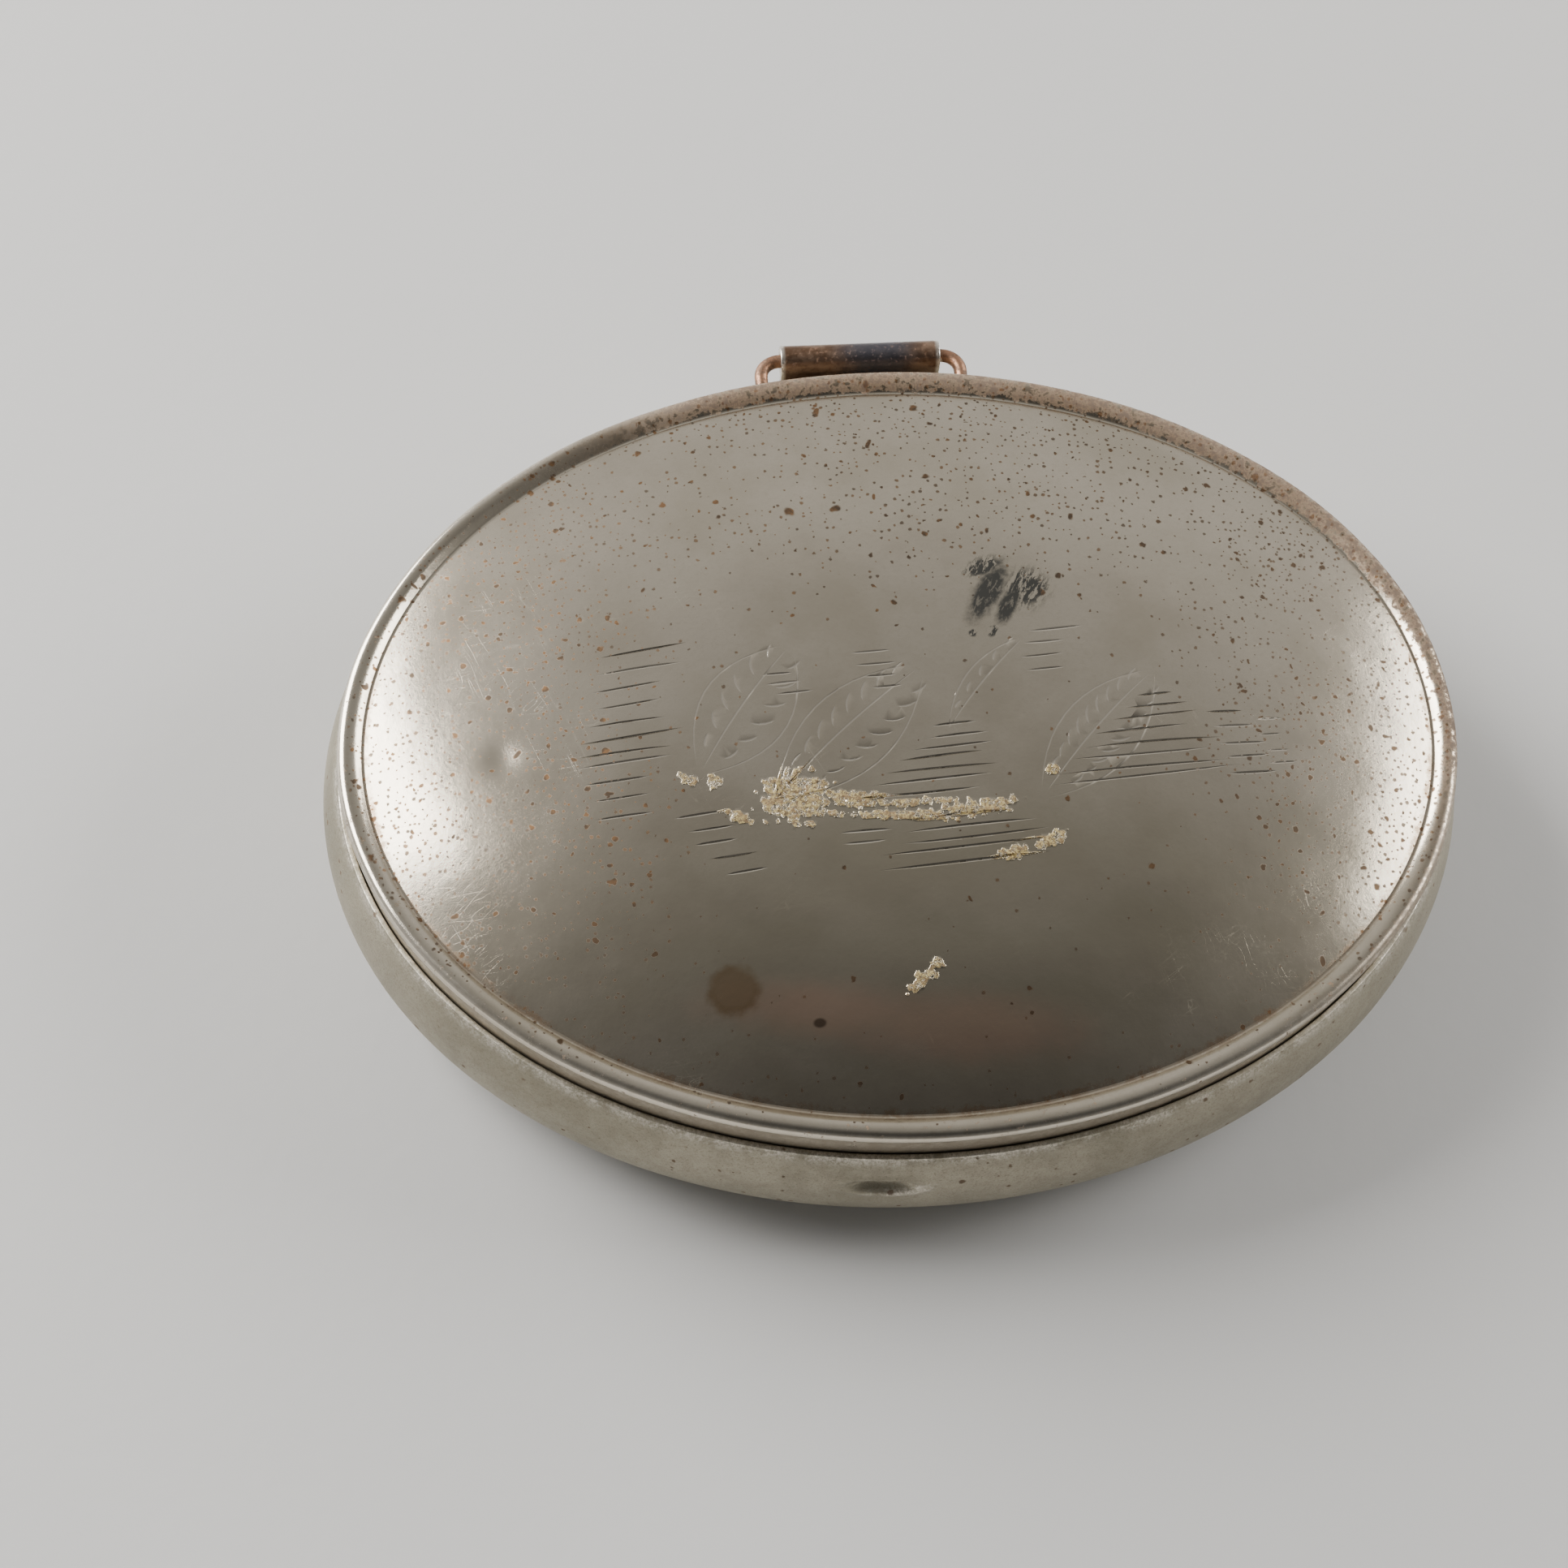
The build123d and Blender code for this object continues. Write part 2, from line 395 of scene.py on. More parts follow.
def ring_xy(offset, turns, share=1.0):
    """X and Y round the ellipse at an offset from the governing one, shrunk to a share."""
    return (EDGE_X + offset) * share * np.cos(turns), (EDGE_Y + offset) * share * np.sin(turns)


def ring_points(offset, height, turns):
    """One closed ring of points at an offset from the governing ellipse."""
    return columns(*ring_xy(offset, turns), height)


def ring_faces(first, second, count):
    """Quads between two rings of vertices that start at these indices."""
    return [
        (first + i, first + (i + 1) % count, second + (i + 1) % count, second + i)
        for i in range(count)
    ]


class Shell:
    """A skin built ring by ring, with a value of every mark stored at each point."""

    def __init__(self, turns, *labels):
        self.turns = turns
        self.parts, self.faces = [], []
        self.marks = {label: [] for label in labels}
        self.last = None  # where the latest ring starts

    def add(self, points, *values):
        """Adds points without faces and returns the first one's index."""
        start = sum(len(part) for part in self.parts)
        self.parts.append(points)
        for column, value in zip(self.marks.values(), values):
            column.append(np.zeros(len(points)) + value)
        return start

    def ring(self, points, *values):
        """Adds a ring and joins it to the one before."""
        start = self.add(points, *values)
        if self.last is not None:
            self.faces += ring_faces(self.last, start, len(self.turns))
        self.last = start

    def fan(self, first, middle):
        """Joins the ring that starts at first to one point in its middle."""
        count = len(self.turns)
        self.faces += [(first + i, first + (i + 1) % count, middle) for i in range(count)]

    def build(self, name, body, node, material, sharp=None):
        """The finished piece."""
        marks = {label: np.concatenate(column) for label, column in self.marks.items()}
        points = np.concatenate(self.parts)
        return make_piece(name, points, self.faces, body, node, material, marks, sharp)


def valley():
    """The V between dome and bead: a small round bottom, then the bead's long inner slope."""
    crest_out = -BEAD_RADIUS
    slope_end = CHANNEL_EDGE + 0.28 * MM
    drop = 0.4 * MM
    run = crest_out - slope_end
    steep = math.degrees(math.atan(2 * drop / run))
    radius = 0.3 * MM
    turn = math.radians(steep)
    middle = (
        slope_end - radius * math.sin(turn),
        BEAD_TOP - drop + radius * math.cos(turn),
    )
    points = arc(middle, radius, 252, 270 + steep, 7)
    for step in range(1, 12):
        part = 1 - step / 12
        points.append((crest_out - run * part, BEAD_TOP - drop * part**2))
    return points


def bead_outside():
    """Round the bead's outer half and over a soft hollow on to the upright side."""
    middle = (-BEAD_RADIUS, BEAD_TOP - BEAD_RADIUS)
    leave = math.radians(50)
    hollow = 0.38 * MM
    reach = BEAD_RADIUS + hollow
    hollow_middle = (
        middle[0] + reach * math.cos(leave),
        middle[1] - reach * math.sin(leave),
    )
    return arc(middle, BEAD_RADIUS, 90, -50, 18) + arc(hollow_middle, hollow, 130, 180, 6)[1:]


def lid_profile():
    """The lid's section from the dome's edge over the bead, down the skirt and back inside.

    Each entry is (offset, height, inside, wear); inside is 0 on the outer face, 0.5 on the
    cut foot and 1 on the hidden face.
    """
    profile = [(offset, height, 0.0, 0.0) for offset, height in valley()]
    outside = bead_outside()
    for step, (offset, height) in enumerate(outside):
        part = step / (len(outside) - 1)
        wear = math.exp(-(((part - 0.22) / 0.2) ** 2))
        profile.append((offset, height, 0.0, wear))
    side_end = (LID_SIDE, RIM_Z)
    foot = (LID_SIDE - SKIRT_DRAW, SKIRT_Z + 0.1 * MM)
    for offset, height in line(outside[-1], side_end, 9)[1:] + line(side_end, foot, 8):
        profile.append((offset, height, 0.0, 0.0))
    for offset, height in arc((foot[0] - SHEET / 2, foot[1]), SHEET / 2, 0, -180, 7):
        profile.append((offset, height, 0.5, 0.7))
    inner = LID_SIDE - SHEET
    bend = 0.5 * MM
    under = CHANNEL_Z - SHEET
    hidden = line((foot[0] - SHEET, foot[1]), (inner, RIM_Z), 8)[1:]
    hidden += line((inner, RIM_Z), (inner, under - bend), 6)
    hidden += arc((inner - bend, under - bend), bend, 0, 80, 6)
    return profile + [(offset, height, 1.0, 0.0) for offset, height in hidden]


def dome_patch(turns, strokes):
    """The engraved dome as triangles, stitched to the ring of boundary points.

    Returns the patch's inner points and its faces, whose indices count the boundary ring first.
    """
    spots = list(zip(*ring_xy(CHANNEL_EDGE, turns)))
    count = len(spots)
    links = [(i, (i + 1) % count) for i in range(count)]
    for stroke in strokes:
        left, right = stroke.sides()
        first = len(spots)
        spots += [tuple(p) for p in stroke.points]
        last = len(spots) - 1
        links += [(i, i + 1) for i in range(first, last)]
        for side in (left, right):
            start = len(spots)
            spots += [tuple(p) for p in side]
            links.append((first, start))
            links += [(i, i + 1) for i in range(start, len(spots) - 1)]
            links.append((len(spots) - 1, last))
    spots += grid_spots(GRID, lambda x, y: dome_share(x, y) < 0.985)
    spots += grid_spots(FINE_GRID, near_detail)
    out = delaunay_2d_cdt([Vector(p) for p in spots], links, [], 0, 1e-7)
    places, faces, origins = out[0], out[2], out[3]
    xy = np.array([tuple(p) for p in places])
    index = {}
    for new, olds in enumerate(origins):
        for old in olds:
            if old < count:
                index[new] = old
    order = [new for new in range(len(xy)) if new not in index]
    for position, new in enumerate(order):
        index[new] = count + position
    faces = [tuple(index[v] for v in face) for face in faces]
    return xy[order], faces


def grid_spots(spacing, wanted):
    """Points of a triangular grid over the dome, kept where wanted says so."""
    xs = np.arange(-DOME_X, DOME_X, spacing)
    ys = np.arange(-DOME_Y, DOME_Y, spacing * 0.866)
    x, y = np.meshgrid(xs, ys)
    x = x + (np.arange(len(ys)) % 2)[:, None] * spacing / 2
    x, y = x.ravel(), y.ravel()
    keep = wanted(x, y)
    return list(zip(x[keep], y[keep]))


def near_detail(x, y):
    """Whether a point is inside or next to a patch of crust or the sharp dent."""
    dent_x, dent_y, radius, _ = DENTS[0]
    close = (x / MM - dent_x) ** 2 + (y / MM - dent_y) ** 2 < (2.4 * radius) ** 2
    for centre_x, centre_y, length, width, _ in CRUSTS:
        reach = max(length, width) * 1.25
        close |= ((x / MM - centre_x) / reach) ** 2 + ((y / MM - centre_y) / reach) ** 2 < 1
    return close


def bead_wobble(turns):
    """Small waviness of the bead, as an inward shift in metres."""
    wave = np.sin(3 * turns + 1.0) + 0.7 * np.sin(7 * turns + 2.0) + 0.5 * np.sin(17 * turns)
    return 0.03 * MM * (wave + 1.6)


def make_lid(material):
    """The lid: engraved dome, channel, bead, side and skirt, closed on the inside."""
    turns = turn_list()
    shell = Shell(turns, "inside", "wear", "cut", "crust")
    strokes = engraving()
    inner, shell.faces = dome_patch(turns, strokes)
    x, y = inner[:, 0], inner[:, 1]
    cut = cut_depth(x, y, strokes)
    crust = crust_share(x, y)
    grain = np.clip(0.6 + 0.4 * ripple(x, y, 0.5 * MM, 31), 0.1, 1.6)
    top = dome_height(x, y) - cut + crust * CRUST_HEIGHT * grain
    edge_x, edge_y = ring_xy(CHANNEL_EDGE, turns)
    shell.ring(columns(edge_x, edge_y, dome_height(edge_x, edge_y)), 0, 0, 0, 0)
    shell.add(columns(x, y, top), 0, 0, cut / (DEEP * MM), crust)

    wobble = bead_wobble(turns)
    for offset, height, hidden, shine in lid_profile():
        bead_share = smooth(offset, -1.6 * MM, -0.9 * MM)
        bead_share *= smooth(height, BEAD_TOP - 1.1 * MM, BEAD_TOP - 0.5 * MM)
        shell.ring(ring_points(offset - wobble * bead_share, height, turns), hidden, shine, 0, 0)
    for share in np.linspace(1, 0, UNDER_RINGS, endpoint=False):  # under the dome
        x, y = ring_xy(CHANNEL_EDGE - 0.1 * MM, turns, share)
        shell.ring(columns(x, y, dome_height(x, y) - SHEET), 1, 0, 0, 0)
    middle = dome_height(np.zeros(1), np.zeros(1))[0] - SHEET
    shell.fan(shell.last, shell.add(np.array([[0, 0, middle]]), 1, 0, 0, 0))
    lid = shell.build("lid_shell", "lid", "lid", material, 35)
    in_detail = (cut > 1e-7) | (crust > 0.01)
    set_dome_normals(lid.data, np.concatenate([np.zeros(len(turns), bool), in_detail]))


def set_dome_normals(mesh, rough):
    """Gives the dome's smooth stretches the true surface's normals, and leaves the cuts sharp.

    rough tells of each of the dome's points, which come first, if it lies in a cut or in crust.
    """
    corners = read_array(mesh.corner_normals, "vector", np.float32, 3)
    vertex = read_array(mesh.loops, "vertex_index", np.int32)
    places = read_array(mesh.vertices, "co", np.float32, 3)[: len(rough)].astype(float)
    normals = dome_normals(places[:, 0], places[:, 1])
    sizes = read_array(mesh.polygons, "loop_total", np.int32)
    owner = np.repeat(np.arange(len(sizes)), sizes)
    blocked = vertex >= len(rough)
    blocked[~blocked] = rough[vertex[~blocked]]
    chosen = np.bincount(owner, weights=blocked)[owner] == 0
    corners[chosen] = normals[vertex[chosen]]
    mesh.normals_split_custom_set([tuple(c) for c in corners])


# --- pan ------------------------------------------------------------------------------
DIMPLE_X = -3.8 * MM
DIMPLE_Z = RIM_Z - 2.8 * MM
DIMPLE_HALF = 2.7 * MM
DIMPLE_TALL = 0.85 * MM
DIMPLE_DEPTH = 0.62 * MM
OIL_CAN = 0.25 * MM  # the bottom is very slightly hollow from below
RIM_TUCK = 0.06 * MM  # the rim leans in towards the lid
RIM_LIP = 0.09 * MM  # rounding of the rim's cut edge


def wall_points(inset, count):
    """The pan's wall from the bottom's edge to the rim, moved inwards by inset."""
    corner = arc((BELLY_OUT - BELLY_Z, BELLY_Z), BELLY_Z - inset, -90, 0, count)
    sweep = math.degrees(math.asin((RIM_Z - BELLY_Z) / WALL_RADIUS))
    middle = (BELLY_OUT - WALL_RADIUS, BELLY_Z)
    return corner[:-1] + arc(middle, WALL_RADIUS - inset, 0, sweep, count * 2)


def wall_offset(height):
    """Offset of the pan's outer wall at heights between the bottom and the rim."""
    radius = np.where(height < BELLY_Z, BELLY_Z, WALL_RADIUS)
    return BELLY_OUT - radius + np.sqrt(radius**2 - (height - BELLY_Z) ** 2)


def pan_profile():
    """The pan's section from the bottom's edge up the outside, over the rim and down inside.

    Each entry is (offset, height, grime, wear).
    """
    outside = wall_points(0.0, 22)
    inside = wall_points(SHEET, 14)
    profile = []
    for offset, height in outside[:-2]:
        worn = math.exp(-(((RIM_Z - height) / (0.5 * MM)) ** 2))
        profile.append((offset - RIM_TUCK * worn, height, 0.15, worn))
    outer = outside[-1][0] - RIM_TUCK
    inner = inside[-1][0] - RIM_TUCK
    for offset, height in arc((outer - RIM_LIP, RIM_Z - RIM_LIP), RIM_LIP, 0, 90, 5):
        profile.append((offset, height, 0.1, 1.0))
    for offset, height in arc((inner + RIM_LIP, RIM_Z - RIM_LIP), RIM_LIP, 90, 180, 5):
        profile.append((offset, height, 0.15, 0.8))
    for offset, height in reversed(inside[:-1]):
        below_rim = (RIM_Z - height) / MM
        shift = RIM_TUCK * math.exp(-((below_rim / 0.5) ** 2))
        profile.append((offset - shift, height, 0.3 * math.exp(-below_rim / 0.6) + 0.1, 0.0))
    return profile


def dimple_push(points):
    """How far the snap dimple pushes each point of the front wall in, and how much painted
    highlight its lower right lip gets.
    """
    u = (points[:, 0] - DIMPLE_X) / DIMPLE_HALF
    v = (points[:, 2] - DIMPLE_Z) / DIMPLE_TALL
    away = (np.abs(u) ** 2.4 + np.abs(v) ** 2.0) ** 0.5
    push = DIMPLE_DEPTH * (1 - smooth(away, 0.25, 1.05))
    lip = 0.07 * MM * np.exp(-(((away - 1.2) / 0.2) ** 2))
    front = points[:, 1] < 0
    # Painted highlight: a bright patch on the dimple's lower right lip, stored in the wear mark.
    dimple_glint = np.exp(-(((away - 1.0) / 0.35) ** 2)) * smooth(u - v, 0.2, 1.2)
    return np.where(front, push - lip, 0.0), np.where(front, dimple_glint, 0.0)


def wall_sway(ring, turns):
    """The pressed wall's slight waviness, as a shift in X and Y, strongest at the belly."""
    height = ring[0, 2]
    sway = 0.025 * MM * ripple(ring[:, 0], ring[:, 1], 26 * MM, 5)
    sway *= math.exp(-(((height - BELLY_Z) / (3.5 * MM)) ** 2))
    outward = np.stack([EDGE_Y * np.cos(turns), EDGE_X * np.sin(turns)], axis=1)
    return unit(outward) * sway[:, None]


def flat_rings(shell, height, shares):
    """Level rings of the pan's bottom, each a share of its size, rising towards the middle."""
    for share in shares:
        x, y = ring_xy(BELLY_OUT - BELLY_Z, shell.turns, share)
        unevenness = 0.01 * MM * ripple(x, y, 16 * MM, 8) * (1 - share)
        z = height + OIL_CAN * (1 - share**2) + unevenness
        shell.ring(columns(x, y, z), 0.1, 0)


def make_pan(material):
    """The pan: flat bottom, rounded corner, bulging wall, cut rim and snap dimple."""
    middle_turn = 1.5 * math.pi + DIMPLE_X / EDGE_X
    reach = 5.0 * MM / EDGE_X
    turns = turn_list(np.linspace(middle_turn - reach, middle_turn + reach, 70))
    shell = Shell(turns, "grime", "wear")
    shares = np.linspace(0.04, 0.98, 22)
    underside = shell.add(np.array([[0, 0, OIL_CAN]]), 0, 0)
    flat_rings(shell, 0.0, shares)
    for offset, height, dirt, shine in pan_profile():
        ring = ring_points(offset, height, turns)
        push, dimple_glint = dimple_push(ring)
        ring[:, :2] += wall_sway(ring, turns)
        ring[:, 1] += push
        # The wear mark also carries the dimple's painted highlight.
        shell.ring(ring, dirt, np.maximum(shine, dimple_glint))
    flat_rings(shell, SHEET, shares[::-1])
    shell.fan(underside + 1, underside)
    shell.fan(shell.last, shell.add(np.array([[0, 0, SHEET + OIL_CAN]]), 0, 0))
    shell.build("pan_shell", "pan", "base_pan", material)


# --- hinge ----------------------------------------------------------------------------
WIRE_RADIUS = 0.5 * MM
BORE_RADIUS = 0.56 * MM
STRAP_SHEET = 0.55 * MM
WIRE_BEND = 1.4 * MM
WIRE_TUCK_BEND = 1.0 * MM
EDGE_ROUND = 0.09 * MM  # rounding of the knuckle's cut edges
KNUCKLE_HALF = knuckle_high.x
SOLDER_SWELL = 0.62 * MM  # the solder's greatest thickness
SOLDER_SUNK = 0.08 * MM  # its back lies this far inside the wall's face
SOLDER_SIDES = 0.75 * MM  # it runs this far past the strap's sides,
SOLDER_BELOW = 0.5 * MM  # below the strap's foot
SOLDER_ABOVE = 0.7 * MM  # and above the CAD's pad


def strip_centre():
    """The strap's middle line in (y, z): up the back of the pan, then round the wire."""
    roll = BORE_RADIUS + STRAP_SHEET / 2
    foot = (AXIS.y - roll, knuckle_low.z)
    path = line(foot, (AXIS.y - roll, AXIS.z), 16)
    return path + arc((AXIS.y, AXIS.z), roll, 180, -128, 44)


def strip_outline(trim):
    """Both sides of the strap's section, with the sheet thinned by trim on each face."""
    path = np.array(strip_centre())
    along = unit(np.gradient(path, axis=0))
    across = leftward(along) * (STRAP_SHEET / 2 - trim)
    path[0] += along[0] * trim
    path[-1] -= along[-1] * trim
    return path + across, path - across


def knuckle_stations():
    """Places along the knuckle, each with how far its faces are trimmed for the round edges."""
    edge = []
    for turn in np.radians(np.linspace(0, 90, 5)):
        x = -KNUCKLE_HALF + EDGE_ROUND * (1 - math.cos(turn))
        edge.append((x, EDGE_ROUND * (1 - math.sin(turn))))
    reach = KNUCKLE_HALF - EDGE_ROUND
    middle = [(x, 0.0) for x in np.linspace(-reach, reach, 40)[1:-1]]
    return edge + middle + [(-x, trim) for x, trim in reversed(edge)]


def make_knuckle(material):
    """The knuckle: a strap of sheet rolled round the wire, its cut edges slightly rounded."""
    points, faces, ends = [], [], []
    count = 0
    for x, trim in knuckle_stations():
        left, right = strip_outline(trim)
        ring = np.concatenate([left, right[::-1]])
        count = len(ring)
        start = len(points)
        points += [(x, y, z) for y, z in ring]
        ends += [1.0 if KNUCKLE_HALF - abs(x) < EDGE_ROUND * 1.1 else 0.0] * count
        if start:
            faces += ring_faces(start - count, start, count)
    for base in (0, len(points) - count):
        for i in range(count // 2 - 1):
            faces.append((base + i, base + i + 1, base + count - 2 - i, base + count - 1 - i))
    marks = {"cut_end": ends}
    make_piece("hinge_strap", points, faces, "pan", "hinge_knuckle", material, marks, 50)


def rounded_path(corners, radii, steps):
    """A path through the corners, each inner corner replaced by an arc of its radius."""
    path = [np.array(corners[0], float)]
    for before, corner, after, radius in zip(corners, corners[1:], corners[2:], radii):
        before, corner, after = (np.array(p, float) for p in (before, corner, after))
        back = (before - corner) / np.linalg.norm(before - corner)
        ahead = (after - corner) / np.linalg.norm(after - corner)
        centre = corner + (back + ahead) * radius
        for angle in np.linspace(0, math.pi / 2, steps):
            path.append(centre - ahead * radius * math.cos(angle) - back * radius * math.sin(angle))
    path.append(np.array(corners[-1], float))
    return path


def even_path(path, spacing):
    """The same path with points at about even spacing."""
    path = np.array(path)
    runs = np.linalg.norm(np.diff(path, axis=0), axis=1)
    reach = np.concatenate([[0], np.cumsum(runs)])
    wanted = np.linspace(0, reach[-1], int(reach[-1] / spacing) + 1)
    return np.stack([np.interp(wanted, reach, path[:, i]) for i in range(3)], axis=1)


def tube(path, radii, sides):
    """A closed tube of points and faces along a path."""
    up = Vector((1, 0, 0))
    points, faces = [], []
    for step, (place, direction) in enumerate(zip(path, unit(np.gradient(path, axis=0)))):
        direction = Vector(direction)
        up = (up - direction * up.dot(direction)).normalized()
        side = direction.cross(up)
        for i in range(sides):
            turn = 2 * math.pi * i / sides
            reach = radii[step] * (1 + 0.02 * math.sin(3 * turn + step * 0.35))
            points.append(Vector(place) + (up * math.cos(turn) + side * math.sin(turn)) * reach)
        if step:
            faces += ring_faces((step - 1) * sides, step * sides, sides)
    faces.append(tuple(range(sides)))
    faces.append(tuple(len(points) - sides + i for i in range(sides)))
    return points, faces


def make_wire(material):
    """The hinge wire: through the knuckle, bent forward through the lid and tucked down."""
    leg = wire_high.x - WIRE_RADIUS
    tuck_y = wire_low.y + WIRE_RADIUS
    corners = [
        (-leg, tuck_y, wire_low.z),
        (-leg, tuck_y, AXIS.z),
        (-leg, AXIS.y, AXIS.z),
        (leg, AXIS.y, AXIS.z),
        (leg, tuck_y, AXIS.z),
        (leg, tuck_y, wire_low.z),
    ]
    bends = (WIRE_TUCK_BEND, WIRE_BEND, WIRE_BEND, WIRE_TUCK_BEND)
    spacing = 0.14 * MM
    path = even_path(rounded_path(corners, bends, 12), spacing)
    reach = np.arange(len(path)) * spacing
    radii = WIRE_RADIUS * (0.965 + 0.012 * ripple(reach, reach * 0, 1.6 * MM, 41))
    for step, share in enumerate((0.55, 0.82, 0.95)):
        radii[step] *= share
        radii[-1 - step] *= share
    make_piece("hinge_loop", *tube(path, radii, 24), "lid", "hinge_wire", material, sharp=60)


def back_wall_y(x, height):
    """Y of the pan's outer wall at the back."""
    offset = wall_offset(height)
    return (EDGE_Y + offset) * np.sqrt(1 - (x / (EDGE_X + offset)) ** 2)


def make_solder(material):
    """The solder: a lumpy pad between strap and pan, swelling out past the strap's edges."""
    half_x = knuckle_high.x + SOLDER_SIDES
    low_z, high_z = knuckle_low.z - SOLDER_BELOW, solder_high.z + SOLDER_ABOVE
    u, v = np.meshgrid(np.linspace(-1, 1, 73), np.linspace(-1, 1, 27))
    x = half_x * u * (1 - 0.06 * v * v)
    z = (low_z + high_z) / 2 + (high_z - low_z) / 2 * v * (1 - 0.12 * u * u)
    wall = back_wall_y(x, z)
    edge = (1 - np.abs(u) ** 6) * (1 - np.abs(v) ** 4)
    lump = 1 + 0.25 * np.sin(x / MM * 2.1 + 1.0) * np.sin(z / MM * 1.7)
    y = wall + SOLDER_SWELL * np.sqrt(edge.clip(0)) * lump
    under_strap = (np.abs(x) < knuckle_high.x + 0.02 * MM) & (z > knuckle_low.z)
    pressed = np.maximum(np.minimum(y, knuckle_low.y - 0.01 * MM), wall)
    y = np.where(under_strap, pressed, y)
    sheets = [columns(x.ravel(), side.ravel(), z.ravel()) for side in (y, wall - SOLDER_SUNK)]

    grid = np.arange(u.size).reshape(u.shape)
    front = np.stack([grid[:-1, :-1], grid[:-1, 1:], grid[1:, 1:], grid[1:, :-1]], axis=-1)
    front = front.reshape(-1, 4)
    border = np.concatenate([grid[0, :-1], grid[:-1, -1], grid[-1, :0:-1], grid[:0:-1, 0]])
    ahead = np.roll(border, -1)
    rim = np.stack([ahead, border, u.size + border, u.size + ahead], axis=1)
    back = u.size + front[:, [0, 3, 2, 1]]
    faces = np.concatenate([front, back, rim]).tolist()
    make_piece("solder_pad", np.concatenate(sheets), faces, "pan", "hinge_solder", material)


# --- materials ------------------------------------------------------------------------
class Nodes:
    """Builds a node tree step by step."""

    def __init__(self, tree):
        self.tree = tree

    def put(self, socket, value):
        """Sets an input to a value or links it to another node's output."""
        if isinstance(value, bpy.types.NodeSocket):
            self.tree.links.new(value, socket)
        else:
            socket.default_value = value

    def node(self, kind, inputs=(), **settings):
        """A new node. Its inputs are values or outputs, in order or by name or number."""
        node = self.tree.nodes.new("ShaderNode" + kind)
        for name, setting in settings.items():
            setattr(node, name, setting)
        pairs = inputs.items() if isinstance(inputs, dict) else enumerate(inputs)
        for key, value in pairs:
            self.put(node.inputs[key], value)
        return node

    def math(self, operation, a, b=0.0, clamp=False):
        """A calculation with two numbers."""
        return self.node("Math", (a, b), operation=operation, use_clamp=clamp).outputs[0]

    def plus(self, a, b, clamp=False):
        """The sum."""
        return self.math("ADD", a, b, clamp)

    def minus(self, a, b, clamp=False):
        """The difference."""
        return self.math("SUBTRACT", a, b, clamp)

    def times(self, *values):
        """The product of any number of values."""
        return functools.reduce(lambda a, b: self.math("MULTIPLY", a, b), values)

    def most(self, *values):
        """The largest of any number of values."""
        return functools.reduce(lambda a, b: self.math("MAXIMUM", a, b), values)

    def length(self, a, b):
        """The length of the vector (a, b)."""
        return self.math("SQRT", self.plus(self.times(a, a), self.times(b, b)))


